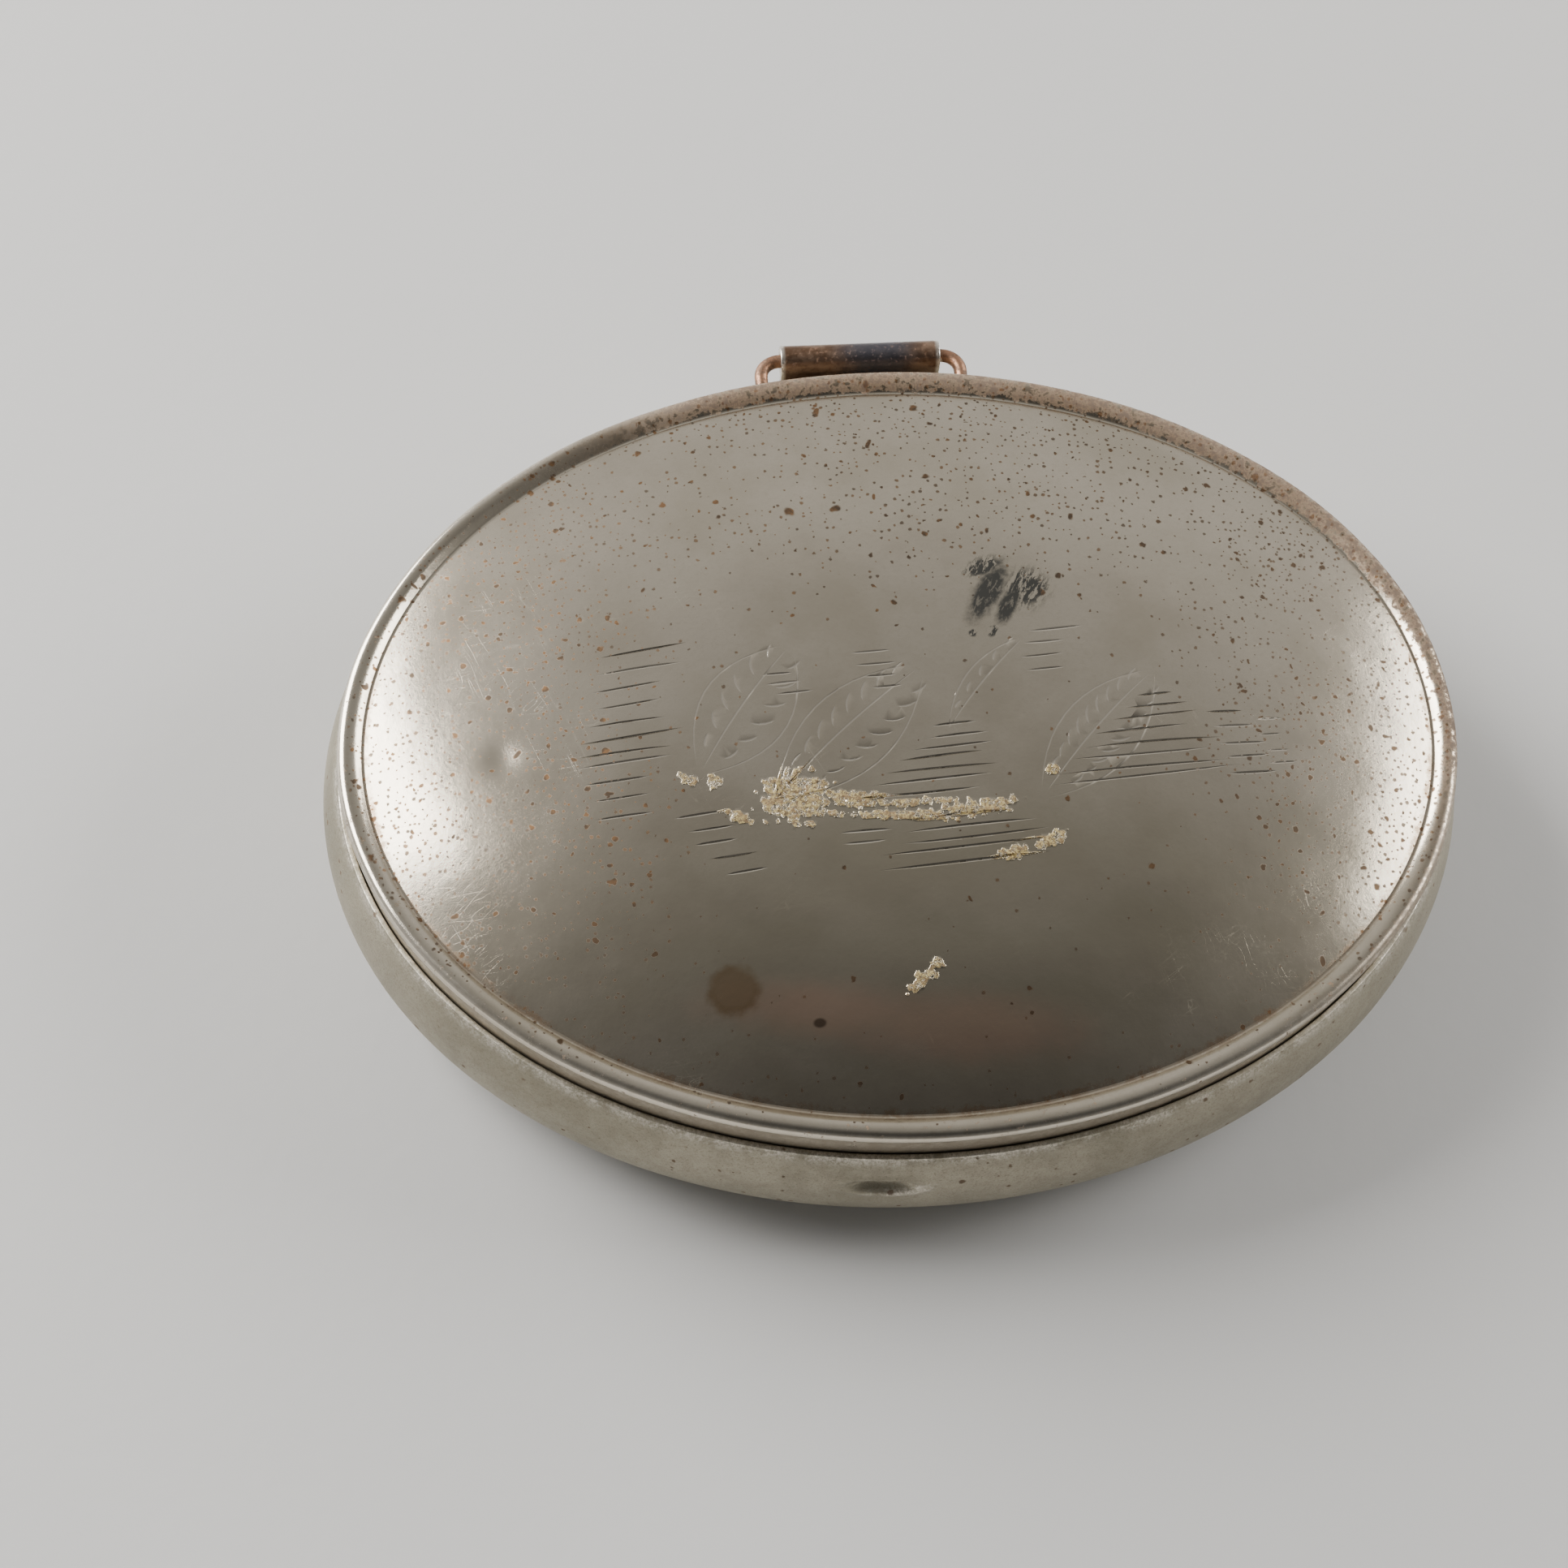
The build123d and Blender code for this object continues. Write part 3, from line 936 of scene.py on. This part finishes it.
class Paint(Nodes):
    """Builds a surface material. Lengths inside it are in millimetres."""

    def __init__(self, name):
        self.material = bpy.data.materials.new(name)
        self.material.use_nodes = True
        super().__init__(self.material.node_tree)
        self.place = self.scaled(self.node("TexCoord").outputs["Object"], (1 / MM,) * 3)
        self.x, self.y, self.z = self.node("SeparateXYZ", (self.place,)).outputs

    def scaled(self, vector, factors, turn=0.0):
        """A vector turned about Z, in degrees, and then stretched by factors."""
        if turn:
            spin = {"Vector": vector, "Angle": math.radians(turn)}
            vector = self.node("VectorRotate", spin, rotation_type="Z_AXIS").outputs[0]
        return self.node("VectorMath", (vector, factors), operation="MULTIPLY").outputs[0]

    def step(self, value, low, high, out_low=0.0, out_high=1.0):
        """Maps value smoothly from low..high to out_low..out_high, clamped."""
        inputs = (value, low, high, out_low, out_high)
        return self.node("MapRange", inputs, interpolation_type="SMOOTHSTEP").outputs[0]

    def noise(self, size, detail=3.0, roughness=0.55, vector=None, warp=0.0):
        """Noise between 0 and 1 whose features are about size millimetres."""
        inputs = {"Vector": vector or self.place, "Scale": 1.0 / size, "Detail": detail}
        inputs |= {"Roughness": roughness, "Distortion": warp}
        return self.node("TexNoise", inputs).outputs["Fac"]

    def specks(self, size, fill, least, most, flat=True):
        """Ragged specks, at most one per cell of that size, in a share fill of the cells.

        Their radii run from least to most, as shares of the cell. Flat specks ignore height.
        """
        ragged = self.node("TexNoise", {"Vector": self.place, "Scale": 2.6 / size, "Detail": 2.0})
        shift = (ragged.outputs["Color"], (0.34 * size,) * 3, self.place)
        shifted = self.node("VectorMath", shift, operation="MULTIPLY_ADD").outputs[0]
        inputs = {"Vector": shifted, "Scale": 1.0 / size}
        cells = self.node("TexVoronoi", inputs, voronoi_dimensions="2D" if flat else "3D")
        chance, spread, _ = self.node("SeparateColor", (cells.outputs["Color"],)).outputs
        chosen = self.math("GREATER_THAN", fill, chance)
        reach = self.plus(self.times(self.math("POWER", spread, 1.7), most - least), least)
        core = self.step(cells.outputs["Distance"], reach, self.times(reach, 0.55))
        return self.times(core, chosen)

    def blot(self, x, y, half_x, half_y, soft=0.5, turn=0.0, ragged=0.0, grain=1.0):
        """A soft ellipse at x, y: 1 inside, 0 outside, with a ragged edge if asked."""
        c, s = math.cos(math.radians(turn)), math.sin(math.radians(turn))
        dx, dy = self.minus(self.x, x), self.minus(self.y, y)
        along = self.plus(self.times(dx, c / half_x), self.times(dy, s / half_x))
        across = self.plus(self.times(dx, -s / half_y), self.times(dy, c / half_y))
        away = self.length(along, across)
        if ragged:
            rough = self.minus(self.noise(grain, 5.0, 0.65), 0.5)
            away = self.plus(away, self.times(rough, ragged))
        return self.step(away, 1.0 + soft / 2, 1.0 - soft / 2)

    def mix(self, factor, a, b):
        """Blends two colours."""
        a, b = ((*color, 1.0) if isinstance(color, tuple) else color for color in (a, b))
        return self.node("Mix", {0: factor, 6: a, 7: b}, data_type="RGBA").outputs[2]

    def cover(self, color, *layers):
        """Lays colours over another, each given as how well it covers and the colour."""
        for factor, layer in layers:
            color = self.mix(factor, color, layer)
        return color

    def blend(self, factor, a, b):
        """Blends two numbers."""
        return self.node("Mix", {0: factor, 2: a, 3: b}).outputs[0]

    def mark(self, name):
        """A value stored on the mesh's vertices."""
        return self.node("Attribute", attribute_name=name).outputs["Fac"]

    def scratches(self, turn, spacing, thin):
        """Fine, nearly straight scratches in one direction, in degrees from X."""
        stretched = self.scaled(self.place, (0.035, 1.0, 1.0), -turn)
        fine = self.noise(spacing, 2.0, 0.6, stretched, 0.1)
        return self.step(self.math("ABSOLUTE", self.minus(fine, 0.5)), thin, 0.0)

    def bump(self, height, depth, before=None):
        """Adds relief: depth is the height, in millimetres, that a value of 1 stands for."""
        inputs = {"Distance": abs(depth) * MM, "Height": height}
        if before is not None:
            inputs["Normal"] = before
        return self.node("Bump", inputs, invert=depth < 0).outputs[0]

    def finish(self, color, metal, rough, normal):
        """Hands the surface's values to its shader and returns the material."""
        shader = self.tree.nodes["Principled BSDF"]
        inputs = {"Base Color": color, "Metallic": metal, "Roughness": rough, "Normal": normal}
        for name, value in inputs.items():
            self.put(shader.inputs[name], value)
        return self.material


NICKEL = (0.61, 0.55, 0.45)
TARNISH = (0.465, 0.41, 0.32)
RUST = (0.17, 0.085, 0.033)
RIM_RUST = (0.19, 0.10, 0.04)
DARK_RUST = (0.05, 0.028, 0.015)
SOOT = (0.06, 0.06, 0.056)
CRUST_PALE = (0.45, 0.35, 0.14)
CRUST_DARK = (0.13, 0.08, 0.03)
COPPER_TINT = (0.74, 0.49, 0.36)
CUT_DIRT = (0.035, 0.03, 0.022)
OLIVE_TINT = (0.40, 0.36, 0.26)
RIM_DARK = (0.08, 0.04, 0.02)
STAIN = (0.34, 0.22, 0.11)
SCORED = (0.8, 0.74, 0.64)
OCHRE = (0.2, 0.12, 0.05)
# painted shade for the lid's side below the bead
PAINTED_SIDE_SHADE = (0.24, 0.19, 0.125)
LID_WORN = (0.76, 0.7, 0.6)
LID_SCRATCHES = ((-68, 1.4), (37, 1.2), (4, 1.3))  # directions in degrees and spacings in mm
PAN_PALE = (0.43, 0.395, 0.31)
PAN_DARK = (0.33, 0.305, 0.235)
PAN_GRAIN = (0.2, 0.18, 0.13)
# bright metal of the rim's wear and of the snap dimple's painted highlight
PAN_WEAR_AND_GLINT = (0.74, 0.69, 0.6)


def lid_zones(p):
    """Places on the lid: shares of its reach across, back and outwards, and mm past the dome.

    Across runs to the right. The last is 0 on the dome's edge and negative inside it.
    """
    share_x = p.times(p.x, MM / DOME_X)
    share_y = p.times(p.y, MM / DOME_Y)
    share = p.length(share_x, share_y)
    slope = p.length(p.times(share_x, MM / DOME_X), p.times(share_y, MM / DOME_Y))
    past = p.math("DIVIDE", p.times(p.minus(share, 1.0), share), slope)
    return share_x, share_y, share, past


def speck_fill(p, share_x, share_y, share):
    """How thickly each part of the lid is speckled, from 0 to about 1."""
    left = p.times(p.step(share_x, -0.34, -0.68), 0.85)
    right = p.times(p.step(share_x, 0.42, 0.78), 0.85)
    back = p.times(p.step(share_y, 0.2, 0.65), p.step(share_x, -0.8, 0.3, 0.25, 0.6))
    fill = p.most(left, right, back)
    front = p.step(share_y, -0.85, -0.3, 0.12, 1.0)
    fill = p.times(fill, p.most(front, p.step(share_x, -0.6, -0.85)))
    fill = p.times(fill, p.step(p.noise(5.0, 3.0), 0.34, 0.6, 0.45, 1.15))
    fill = p.plus(fill, p.times(p.step(share, 0.85, 0.98), 0.08))
    return p.plus(fill, 0.03)


def lid_rust(p, share_x, share_y, share, past):
    """Rust on the lid: specks over the dome, a stained channel and a ragged rusty rim."""
    fill = speck_fill(p, share_x, share_y, share)
    fine = p.times(p.specks(0.54, fill, 0.13, 0.34), 0.9)
    middle = p.specks(1.3, p.times(fill, 0.5), 0.1, 0.24)
    rare = p.specks(3.4, p.times(fill, 0.6), 0.05, 0.12)
    specks = p.times(p.most(fine, middle, rare), p.step(past, 1.5, 1.0))
    ragged = p.plus(past, p.times(p.minus(p.noise(0.8, 5.0, 0.75), 0.5), 1.5))
    channel = p.times(p.step(ragged, -0.45, -0.05), p.step(ragged, 0.45, 0.1))
    channel = p.times(channel, p.step(p.noise(1.6, 4.0, 0.7), 0.38, 0.62, 0.3, 0.8))
    channel = p.times(channel, p.step(share_y, 0.6, 0.0))
    rusty_side = p.step(p.plus(p.times(share_x, 0.62), p.times(share_y, 0.78)), 0.0, 0.6)
    start = p.step(share_y, 0.1, 0.5, 0.7, 0.22)  # it reaches further in at the back
    rim = p.times(p.step(p.minus(ragged, start), -0.12, 0.12), rusty_side)
    right = p.times(p.step(share_x, 0.55, 0.9), p.step(ragged, 1.0, 1.4))
    spots = p.times(p.step(past, 0.4, 0.9), p.step(p.noise(0.7, 5.0, 0.75), 0.6, 0.66))
    rim = p.most(rim, p.times(right, 0.8), spots)
    rim = p.times(rim, p.step(p.noise(0.5, 4.0, 0.7), 0.3, 0.55, 0.5, 1.0))
    return specks, channel, rim


def lid_soot(p):
    """The black smear: a slanting lick beside patches broken into short strokes."""
    strokes = p.noise(0.3, 3.0, 0.7, p.scaled(p.place, (0.35, 1.0, 1.0), -62), 0.3)
    solid = p.most(
        p.blot(6.4, 9.0, 2.5, 0.9, 0.7, 58, 0.9, 0.5),
        p.blot(7.7, 7.9, 1.6, 0.6, 0.7, 62, 0.9, 0.5),
    )
    broken = p.most(
        p.blot(9.1, 9.2, 1.7, 1.5, 0.8, 40, 0.9, 0.6),
        p.blot(6.3, 11.1, 1.5, 0.7, 0.8, 20, 0.9, 0.5),
        p.blot(6.4, 5.9, 0.5, 0.35, 0.6, 50, 0.5, 0.5),
        p.blot(5.0, 5.8, 0.3, 0.3, 0.6, 0, 0.3, 0.5),
    )
    solid = p.times(solid, p.step(strokes, 0.36, 0.48, 0.65, 1.0))
    return p.most(solid, p.times(broken, p.step(strokes, 0.44, 0.52)))


def lid_plate(p):
    """The lid's bare plate: its colour with a darker olive tint over the front and copper films,
    its mottle and roughness.
    """
    mottle = p.noise(0.35, 4.0, 0.75)
    olive = p.blot(2.0, -15.0, 26.0, 9.0, 1.2, 0, 0.7, 6.0)
    copper = p.most(
        p.blot(-7.0, -20.6, 7.0, 1.6, 1.3, -8, 0.9, 3.0),
        p.blot(1.5, -22.2, 7.0, 2.0, 1.3, -4, 0.9, 3.0),
    )
    color = p.cover(
        p.mix(p.step(p.noise(9.0, 4.0, 0.6), 0.35, 0.7, 0.0, 0.6), NICKEL, TARNISH),
        (p.step(mottle, 0.45, 0.75, 0.0, 0.3), TARNISH),
        (p.times(olive, 0.5), OLIVE_TINT),
        (p.times(copper, 0.55), COPPER_TINT),
    )
    rough = p.blend(p.noise(5.0, 4.0, 0.6), 0.14, 0.19)
    return color, mottle, p.plus(rough, p.times(mottle, 0.04))


def speck_tone(p, share_x, share_y):
    """The specks' colour: brown, but nearly black at the right and the front."""
    tone = p.mix(p.step(p.noise(0.9, 4.0, 0.7), 0.4, 0.6), RUST, DARK_RUST)
    dark = p.most(p.step(share_x, 0.2, 0.7), p.step(share_y, -0.2, -0.6))
    return p.mix(p.times(dark, 0.75), tone, DARK_RUST)


def lid_stain(p, upper):
    """The round brown stain near the front, fainter at its heart."""
    stain = p.blot(-13.3, -18.9, 1.65, 1.55, 0.55, 0, 0.6, 0.9)
    heart = p.blot(-13.3, -18.8, 1.4, 1.25, 0.5, 0, 0.3, 0.9)
    return p.times(stain, upper, p.blend(heart, 0.85, 0.6))


def lid_crust(p):
    """Where the crust has kept its colour, and that colour."""
    crust = p.step(p.mark("crust"), 0.1, 0.45)
    crust = p.times(crust, p.step(p.noise(0.4, 4.0, 0.8), 0.4, 0.5))
    grain = p.step(p.noise(0.24, 3.0, 0.8), 0.44, 0.56)
    ochre = p.times(p.step(p.noise(0.8, 3.0, 0.7), 0.5, 0.62), 0.6)
    return crust, p.cover(CRUST_DARK, (grain, CRUST_PALE), (ochre, OCHRE))


def lid_relief(p, mottle, lines, crust):
    """The lid's fine relief: mottle, soft unevenness, scratches and crumbs of crust."""
    normal = p.bump(mottle, 0.005)
    normal = p.bump(p.noise(2.6, 3.0, 0.5), 0.018, normal)
    normal = p.bump(lines, -0.0012, normal)
    return p.bump(p.times(crust, p.noise(0.25, 3.0, 0.8)), 0.12, normal)


def lid_metal():
    """Worn plate with rust specks, stains, dried crust, dirt in the cuts and the channel, and
    painted shade on the side below the bead.
    """
    p = Paint("lid_plate")
    share_x, share_y, share, past = lid_zones(p)
    outer = p.step(p.mark("inside"), 0.6, 0.4)
    side = p.times(outer, p.step(p.z, BEAD_TOP / MM - 0.9, BEAD_TOP / MM - 1.5))
    upper = p.minus(outer, side)
    specks, channel, rim = lid_rust(p, share_x, share_y, share, past)
    specks = p.times(specks, p.step(outer, 0.0, 1.0, 0.4, 1.0))
    channel = p.times(channel, upper)
    rim = p.times(rim, upper)
    rim_color = p.mix(p.step(p.noise(0.5, 5.0, 0.8), 0.42, 0.6), RIM_RUST, RIM_DARK)
    spot = p.blot(-7.8, -21.4, 0.42, 0.3, 0.6)
    soot = p.times(lid_soot(p), upper)
    scored = p.step(p.mark("cut"), 0.05, 0.2)
    cut = p.step(p.mark("cut"), 0.45, 0.8)
    cut = p.times(cut, p.step(p.noise(0.9, 3.0), 0.3, 0.5, 0.4, 1.0))
    crust, crust_color = lid_crust(p)
    # Painted shade: the outer side below the bead is darkened and dulled, broken up by noise.
    side = p.times(side, p.step(p.noise(1.4, 5.0, 0.7), 0.3, 0.62, 0.35, 1.0))
    worn = p.times(p.mark("wear"), p.step(p.noise(0.8, 4.0, 0.7), 0.3, 0.6, 0.3, 0.8))

    color, mottle, rough = lid_plate(p)
    color = p.cover(
        color,
        (p.times(specks, 0.92), speck_tone(p, share_x, share_y)),
        (p.times(channel, 0.8), RUST),
        (p.times(rim, 0.85), rim_color),
        (lid_stain(p, upper), STAIN),
        (p.times(spot, 0.7), DARK_RUST),
        (p.times(soot, 0.98), SOOT),
        (p.times(scored, 0.5), SCORED),
        (p.times(cut, 0.9), CUT_DIRT),
        (p.times(crust, 0.95), crust_color),
        # painted shade on the side below the bead
        (p.times(side, 0.75), PAINTED_SIDE_SHADE),
        (p.times(worn, p.minus(1.0, rim)), LID_WORN),
    )
    dull = p.most(
        p.times(p.step(rim, 0.6, 1.0), 0.85),
        p.step(crust, 0.2, 0.7),
        p.times(p.step(cut, 0.6, 1.0), 0.6),
        p.times(side, 0.45),
    )
    rust = p.most(specks, p.times(channel, 0.5), rim)
    rough = p.blend(p.most(dull, p.times(p.most(rust, soot), 0.45)), rough, 0.75)
    lines = p.most(*(p.scratches(turn, spacing, 0.004) for turn, spacing in LID_SCRATCHES))
    lines = p.times(lines, p.step(p.noise(7.0, 2.0), 0.5, 0.8))
    rough = p.plus(rough, p.times(lines, 0.12), True)
    return p.finish(color, p.minus(1.0, dull, True), rough, lid_relief(p, mottle, lines, crust))


def pan_metal():
    """Matt, finely grained plate, worn bright along the rim, with a painted highlight on the snap
    dimple's lip, and stained at the seam.
    """
    p = Paint("pan_plate")
    grain = p.noise(0.16, 3.0, 0.8)
    # worn holds the rim's wear together with the snap dimple's painted highlight.
    worn = p.times(p.mark("wear"), p.step(p.noise(1.6, 5.0, 0.7), 0.36, 0.6))
    flecks = p.step(p.noise(0.2, 3.0, 0.8), 0.46, 0.56)
    worn = p.times(worn, p.blend(flecks, 0.35, 1.0))
    large = p.times(p.specks(2.4, 0.2, 0.06, 0.2, False), 0.9)
    specks = p.most(p.specks(0.8, 0.16, 0.12, 0.4, False), large)
    grime = p.times(p.mark("grime"), p.step(p.noise(0.9, 4.0, 0.7), 0.35, 0.65))
    rust = p.most(specks, grime)
    color = p.cover(
        PAN_PALE,
        (p.step(p.noise(7.0, 4.0, 0.6), 0.35, 0.7), PAN_DARK),
        (p.step(grain, 0.48, 0.7, 0.0, 0.6), PAN_GRAIN),
        (p.times(worn, 0.9), PAN_WEAR_AND_GLINT),
        (p.times(rust, 0.8), p.mix(p.noise(0.8), RUST, DARK_RUST)),
    )
    metal = p.minus(1.0, p.times(rust, 0.8), True)
    rough = p.blend(worn, p.blend(p.noise(4.0, 4.0), 0.42, 0.54), 0.3)
    rough = p.blend(rust, rough, 0.8)
    normal = p.bump(grain, 0.025)
    normal = p.bump(p.noise(2.4, 3.0), 0.03, normal)
    normal = p.bump(p.scratches(12, 0.8, 0.006), -0.006, normal)
    return p.finish(color, metal, rough, normal)


def knuckle_metal():
    """Browned sheet with a blue-black bloom, and bright metal on its cut ends."""
    p = Paint("knuckle_steel")
    bloom = p.blot(1.2, AXIS.y / MM, 2.6, 2.0, 0.9, 0, 0.5, 1.2)
    rust = p.step(p.noise(0.35, 4.0, 0.75), 0.55, 0.68)
    ends = p.times(p.mark("cut_end"), p.step(p.noise(0.5, 3.0), 0.3, 0.5, 0.6, 1.0))
    color = p.cover(
        (0.16, 0.095, 0.06),
        (p.step(p.noise(1.6, 5.0, 0.65), 0.4, 0.62), (0.3, 0.2, 0.14)),
        (p.times(bloom, 0.75), (0.085, 0.1, 0.13)),
        (p.times(rust, 0.7), (0.1, 0.045, 0.02)),
        (ends, (0.74, 0.69, 0.62)),
    )
    metal = p.most(p.minus(0.95, p.times(rust, 0.7)), ends)
    rough = p.blend(rust, p.blend(p.noise(1.0, 4.0), 0.26, 0.42), 0.7)
    rough = p.blend(ends, rough, 0.25)
    return p.finish(color, metal, rough, p.bump(p.noise(0.3, 4.0, 0.65), 0.02))


def wire_metal():
    """Drawn wire under a coppery rust skin, rubbed bright in places."""
    p = Paint("rusty_wire")
    skin = p.step(p.noise(0.7, 5.0, 0.7), 0.42, 0.6)
    orange = p.step(p.noise(0.5, 4.0, 0.7), 0.58, 0.7)
    bright = p.step(p.noise(1.3, 3.0, 0.6), 0.55, 0.66)
    color = p.cover(
        (0.36, 0.2, 0.125),
        (skin, (0.18, 0.115, 0.08)),
        (orange, (0.16, 0.06, 0.022)),
        (p.times(bright, 0.8), (0.66, 0.57, 0.48)),
    )
    metal = p.minus(0.95, p.times(orange, 0.8))
    rough = p.blend(bright, p.blend(skin, 0.4, 0.6), 0.26)
    return p.finish(color, metal, rough, p.bump(p.noise(0.3, 4.0, 0.7), 0.035))


def solder_metal():
    """Soft solder: dull grey, slightly frosted, with dark flux at its border."""
    p = Paint("solder")
    flux = p.step(p.noise(0.5, 4.0, 0.7), 0.56, 0.66)
    color = p.cover(
        (0.42, 0.40, 0.37),
        (p.noise(0.8, 4.0, 0.6), (0.22, 0.21, 0.195)),
        (p.times(flux, 0.7), (0.06, 0.04, 0.025)),
    )
    metal = p.minus(0.95, p.times(flux, 0.6))
    rough = p.blend(p.noise(0.6, 3.0), 0.36, 0.55)
    return p.finish(color, metal, rough, p.bump(p.noise(0.6, 4.0, 0.6), 0.04))


def floor_paint():
    """A plain pale table with the faintest mottling."""
    p = Paint("floor")
    color = p.mix(p.noise(40.0, 3.0), (0.56, 0.556, 0.547), (0.59, 0.586, 0.577))
    return p.finish(color, 0.0, 0.6, p.bump(p.noise(1.5, 3.0), 0.02))


# --- stage ----------------------------------------------------------------------------
LIGHT_DISTANCE = 0.6
# Softboxes: name, direction from the box, half-sizes as shares of the distance, radiance.
SOFTBOXES = [
    ("left_box", (-0.705, 0.49, 0.515), (0.27, 0.5), 14.0),
    ("right_box", (0.845, 0.23, 0.49), (0.22, 0.33), 9.5),
]
WALL_LEVEL = 0.64  # brightness of the room's walls
DARK_LEVEL = 0.06  # and of the dark patch overhead
DARK_POLE = Vector((0.1, -0.62, 0.78)).normalized()  # the dark patch's middle
DARK_EDGE = 1.05  # how sharply it fades: higher is narrower
LIGHT_TINT = (1.0, 0.985, 0.96)


def softbox(name, direction, shares, radiance):
    """A soft rectangular light, its width lying along X as far as it can, facing the box."""
    outward = Vector(direction).normalized()
    across = (Vector((1, 0, 0)) - outward * outward.x).normalized()
    light = bpy.data.lights.new(name, "AREA")
    light.shape = "RECTANGLE"
    light.size = 2 * shares[0] * LIGHT_DISTANCE
    light.size_y = 2 * shares[1] * LIGHT_DISTANCE
    light.energy = radiance * math.pi * light.size * light.size_y
    light.color = LIGHT_TINT
    place = outward * LIGHT_DISTANCE
    stand(add_object(name, light), place, across, outward.cross(across), outward)


def make_world():
    """Pale walls all round, fading into a dark patch overhead."""
    world = bpy.data.worlds.new("room")
    world.use_nodes = True
    nodes = Nodes(world.node_tree)
    direction = nodes.node("TexCoord").outputs["Generated"]
    toward = nodes.node("VectorMath", (direction, DARK_POLE), operation="DOT_PRODUCT")
    lift = nodes.most(toward.outputs["Value"], 0.0)
    dark = nodes.math("POWER", lift, DARK_EDGE, True)
    levels = {"Value": dark, "To Min": WALL_LEVEL, "To Max": DARK_LEVEL}
    background = world.node_tree.nodes["Background"]
    nodes.put(background.inputs["Color"], (*LIGHT_TINT, 1.0))
    nodes.put(background.inputs["Strength"], nodes.node("MapRange", levels).outputs[0])
    bpy.context.scene.world = world


def make_floor():
    """A plain pale table under the box."""
    reach = 1.5
    corners = [(-reach, -reach), (reach, -reach), (reach, reach), (-reach, reach)]
    mesh = bpy.data.meshes.new("floor")
    mesh.from_pydata([(x, y, -0.02 * MM) for x, y in corners], [], [(0, 1, 2, 3)])
    mesh.materials.append(floor_paint())
    add_object("floor", mesh)


# The camera looks down on the lid from the front left, turned a little about its own axis.
CAMERA_ELEVATION = 65.0
CAMERA_AZIMUTH = -12.0
CAMERA_ROLL = 8.1
CAMERA_DISTANCE = 224.2 * MM
CAMERA_LENS = 74.5  # on a 36 mm wide sensor
LID_RIGHT = 8.32 * MM  # how far the lid's middle lies right of the picture's middle
LID_ABOVE = 3.51 * MM  # and above it


def make_camera():
    """The camera, its axes worked out from where it stands and how far it is rolled."""
    elevation = math.radians(CAMERA_ELEVATION)
    azimuth = math.radians(CAMERA_AZIMUTH)
    roll = math.radians(CAMERA_ROLL)
    flat = math.cos(elevation)
    back = Vector((math.sin(azimuth) * flat, -math.cos(azimuth) * flat, math.sin(elevation)))
    right = Vector((math.cos(azimuth), math.sin(azimuth), 0))
    up = back.cross(right)
    turned_right = right * math.cos(roll) + up * math.sin(roll)
    turned_up = up * math.cos(roll) - right * math.sin(roll)
    lens = bpy.data.cameras.new("camera")
    lens.lens = CAMERA_LENS
    lens.sensor_width = 36
    lens.clip_start = 0.01
    camera = add_object("camera", lens)
    place = Vector((0, 0, BEAD_TOP)) - turned_right * LID_RIGHT - turned_up * LID_ABOVE
    stand(camera, place + back * CAMERA_DISTANCE, turned_right, turned_up, back)
    bpy.context.scene.camera = camera


# --- build ----------------------------------------------------------------------------
make_lid(lid_metal())
make_pan(pan_metal())
make_knuckle(knuckle_metal())
make_wire(wire_metal())
make_solder(solder_metal())
for box in SOFTBOXES:
    softbox(*box)
make_world()
make_floor()
make_camera()
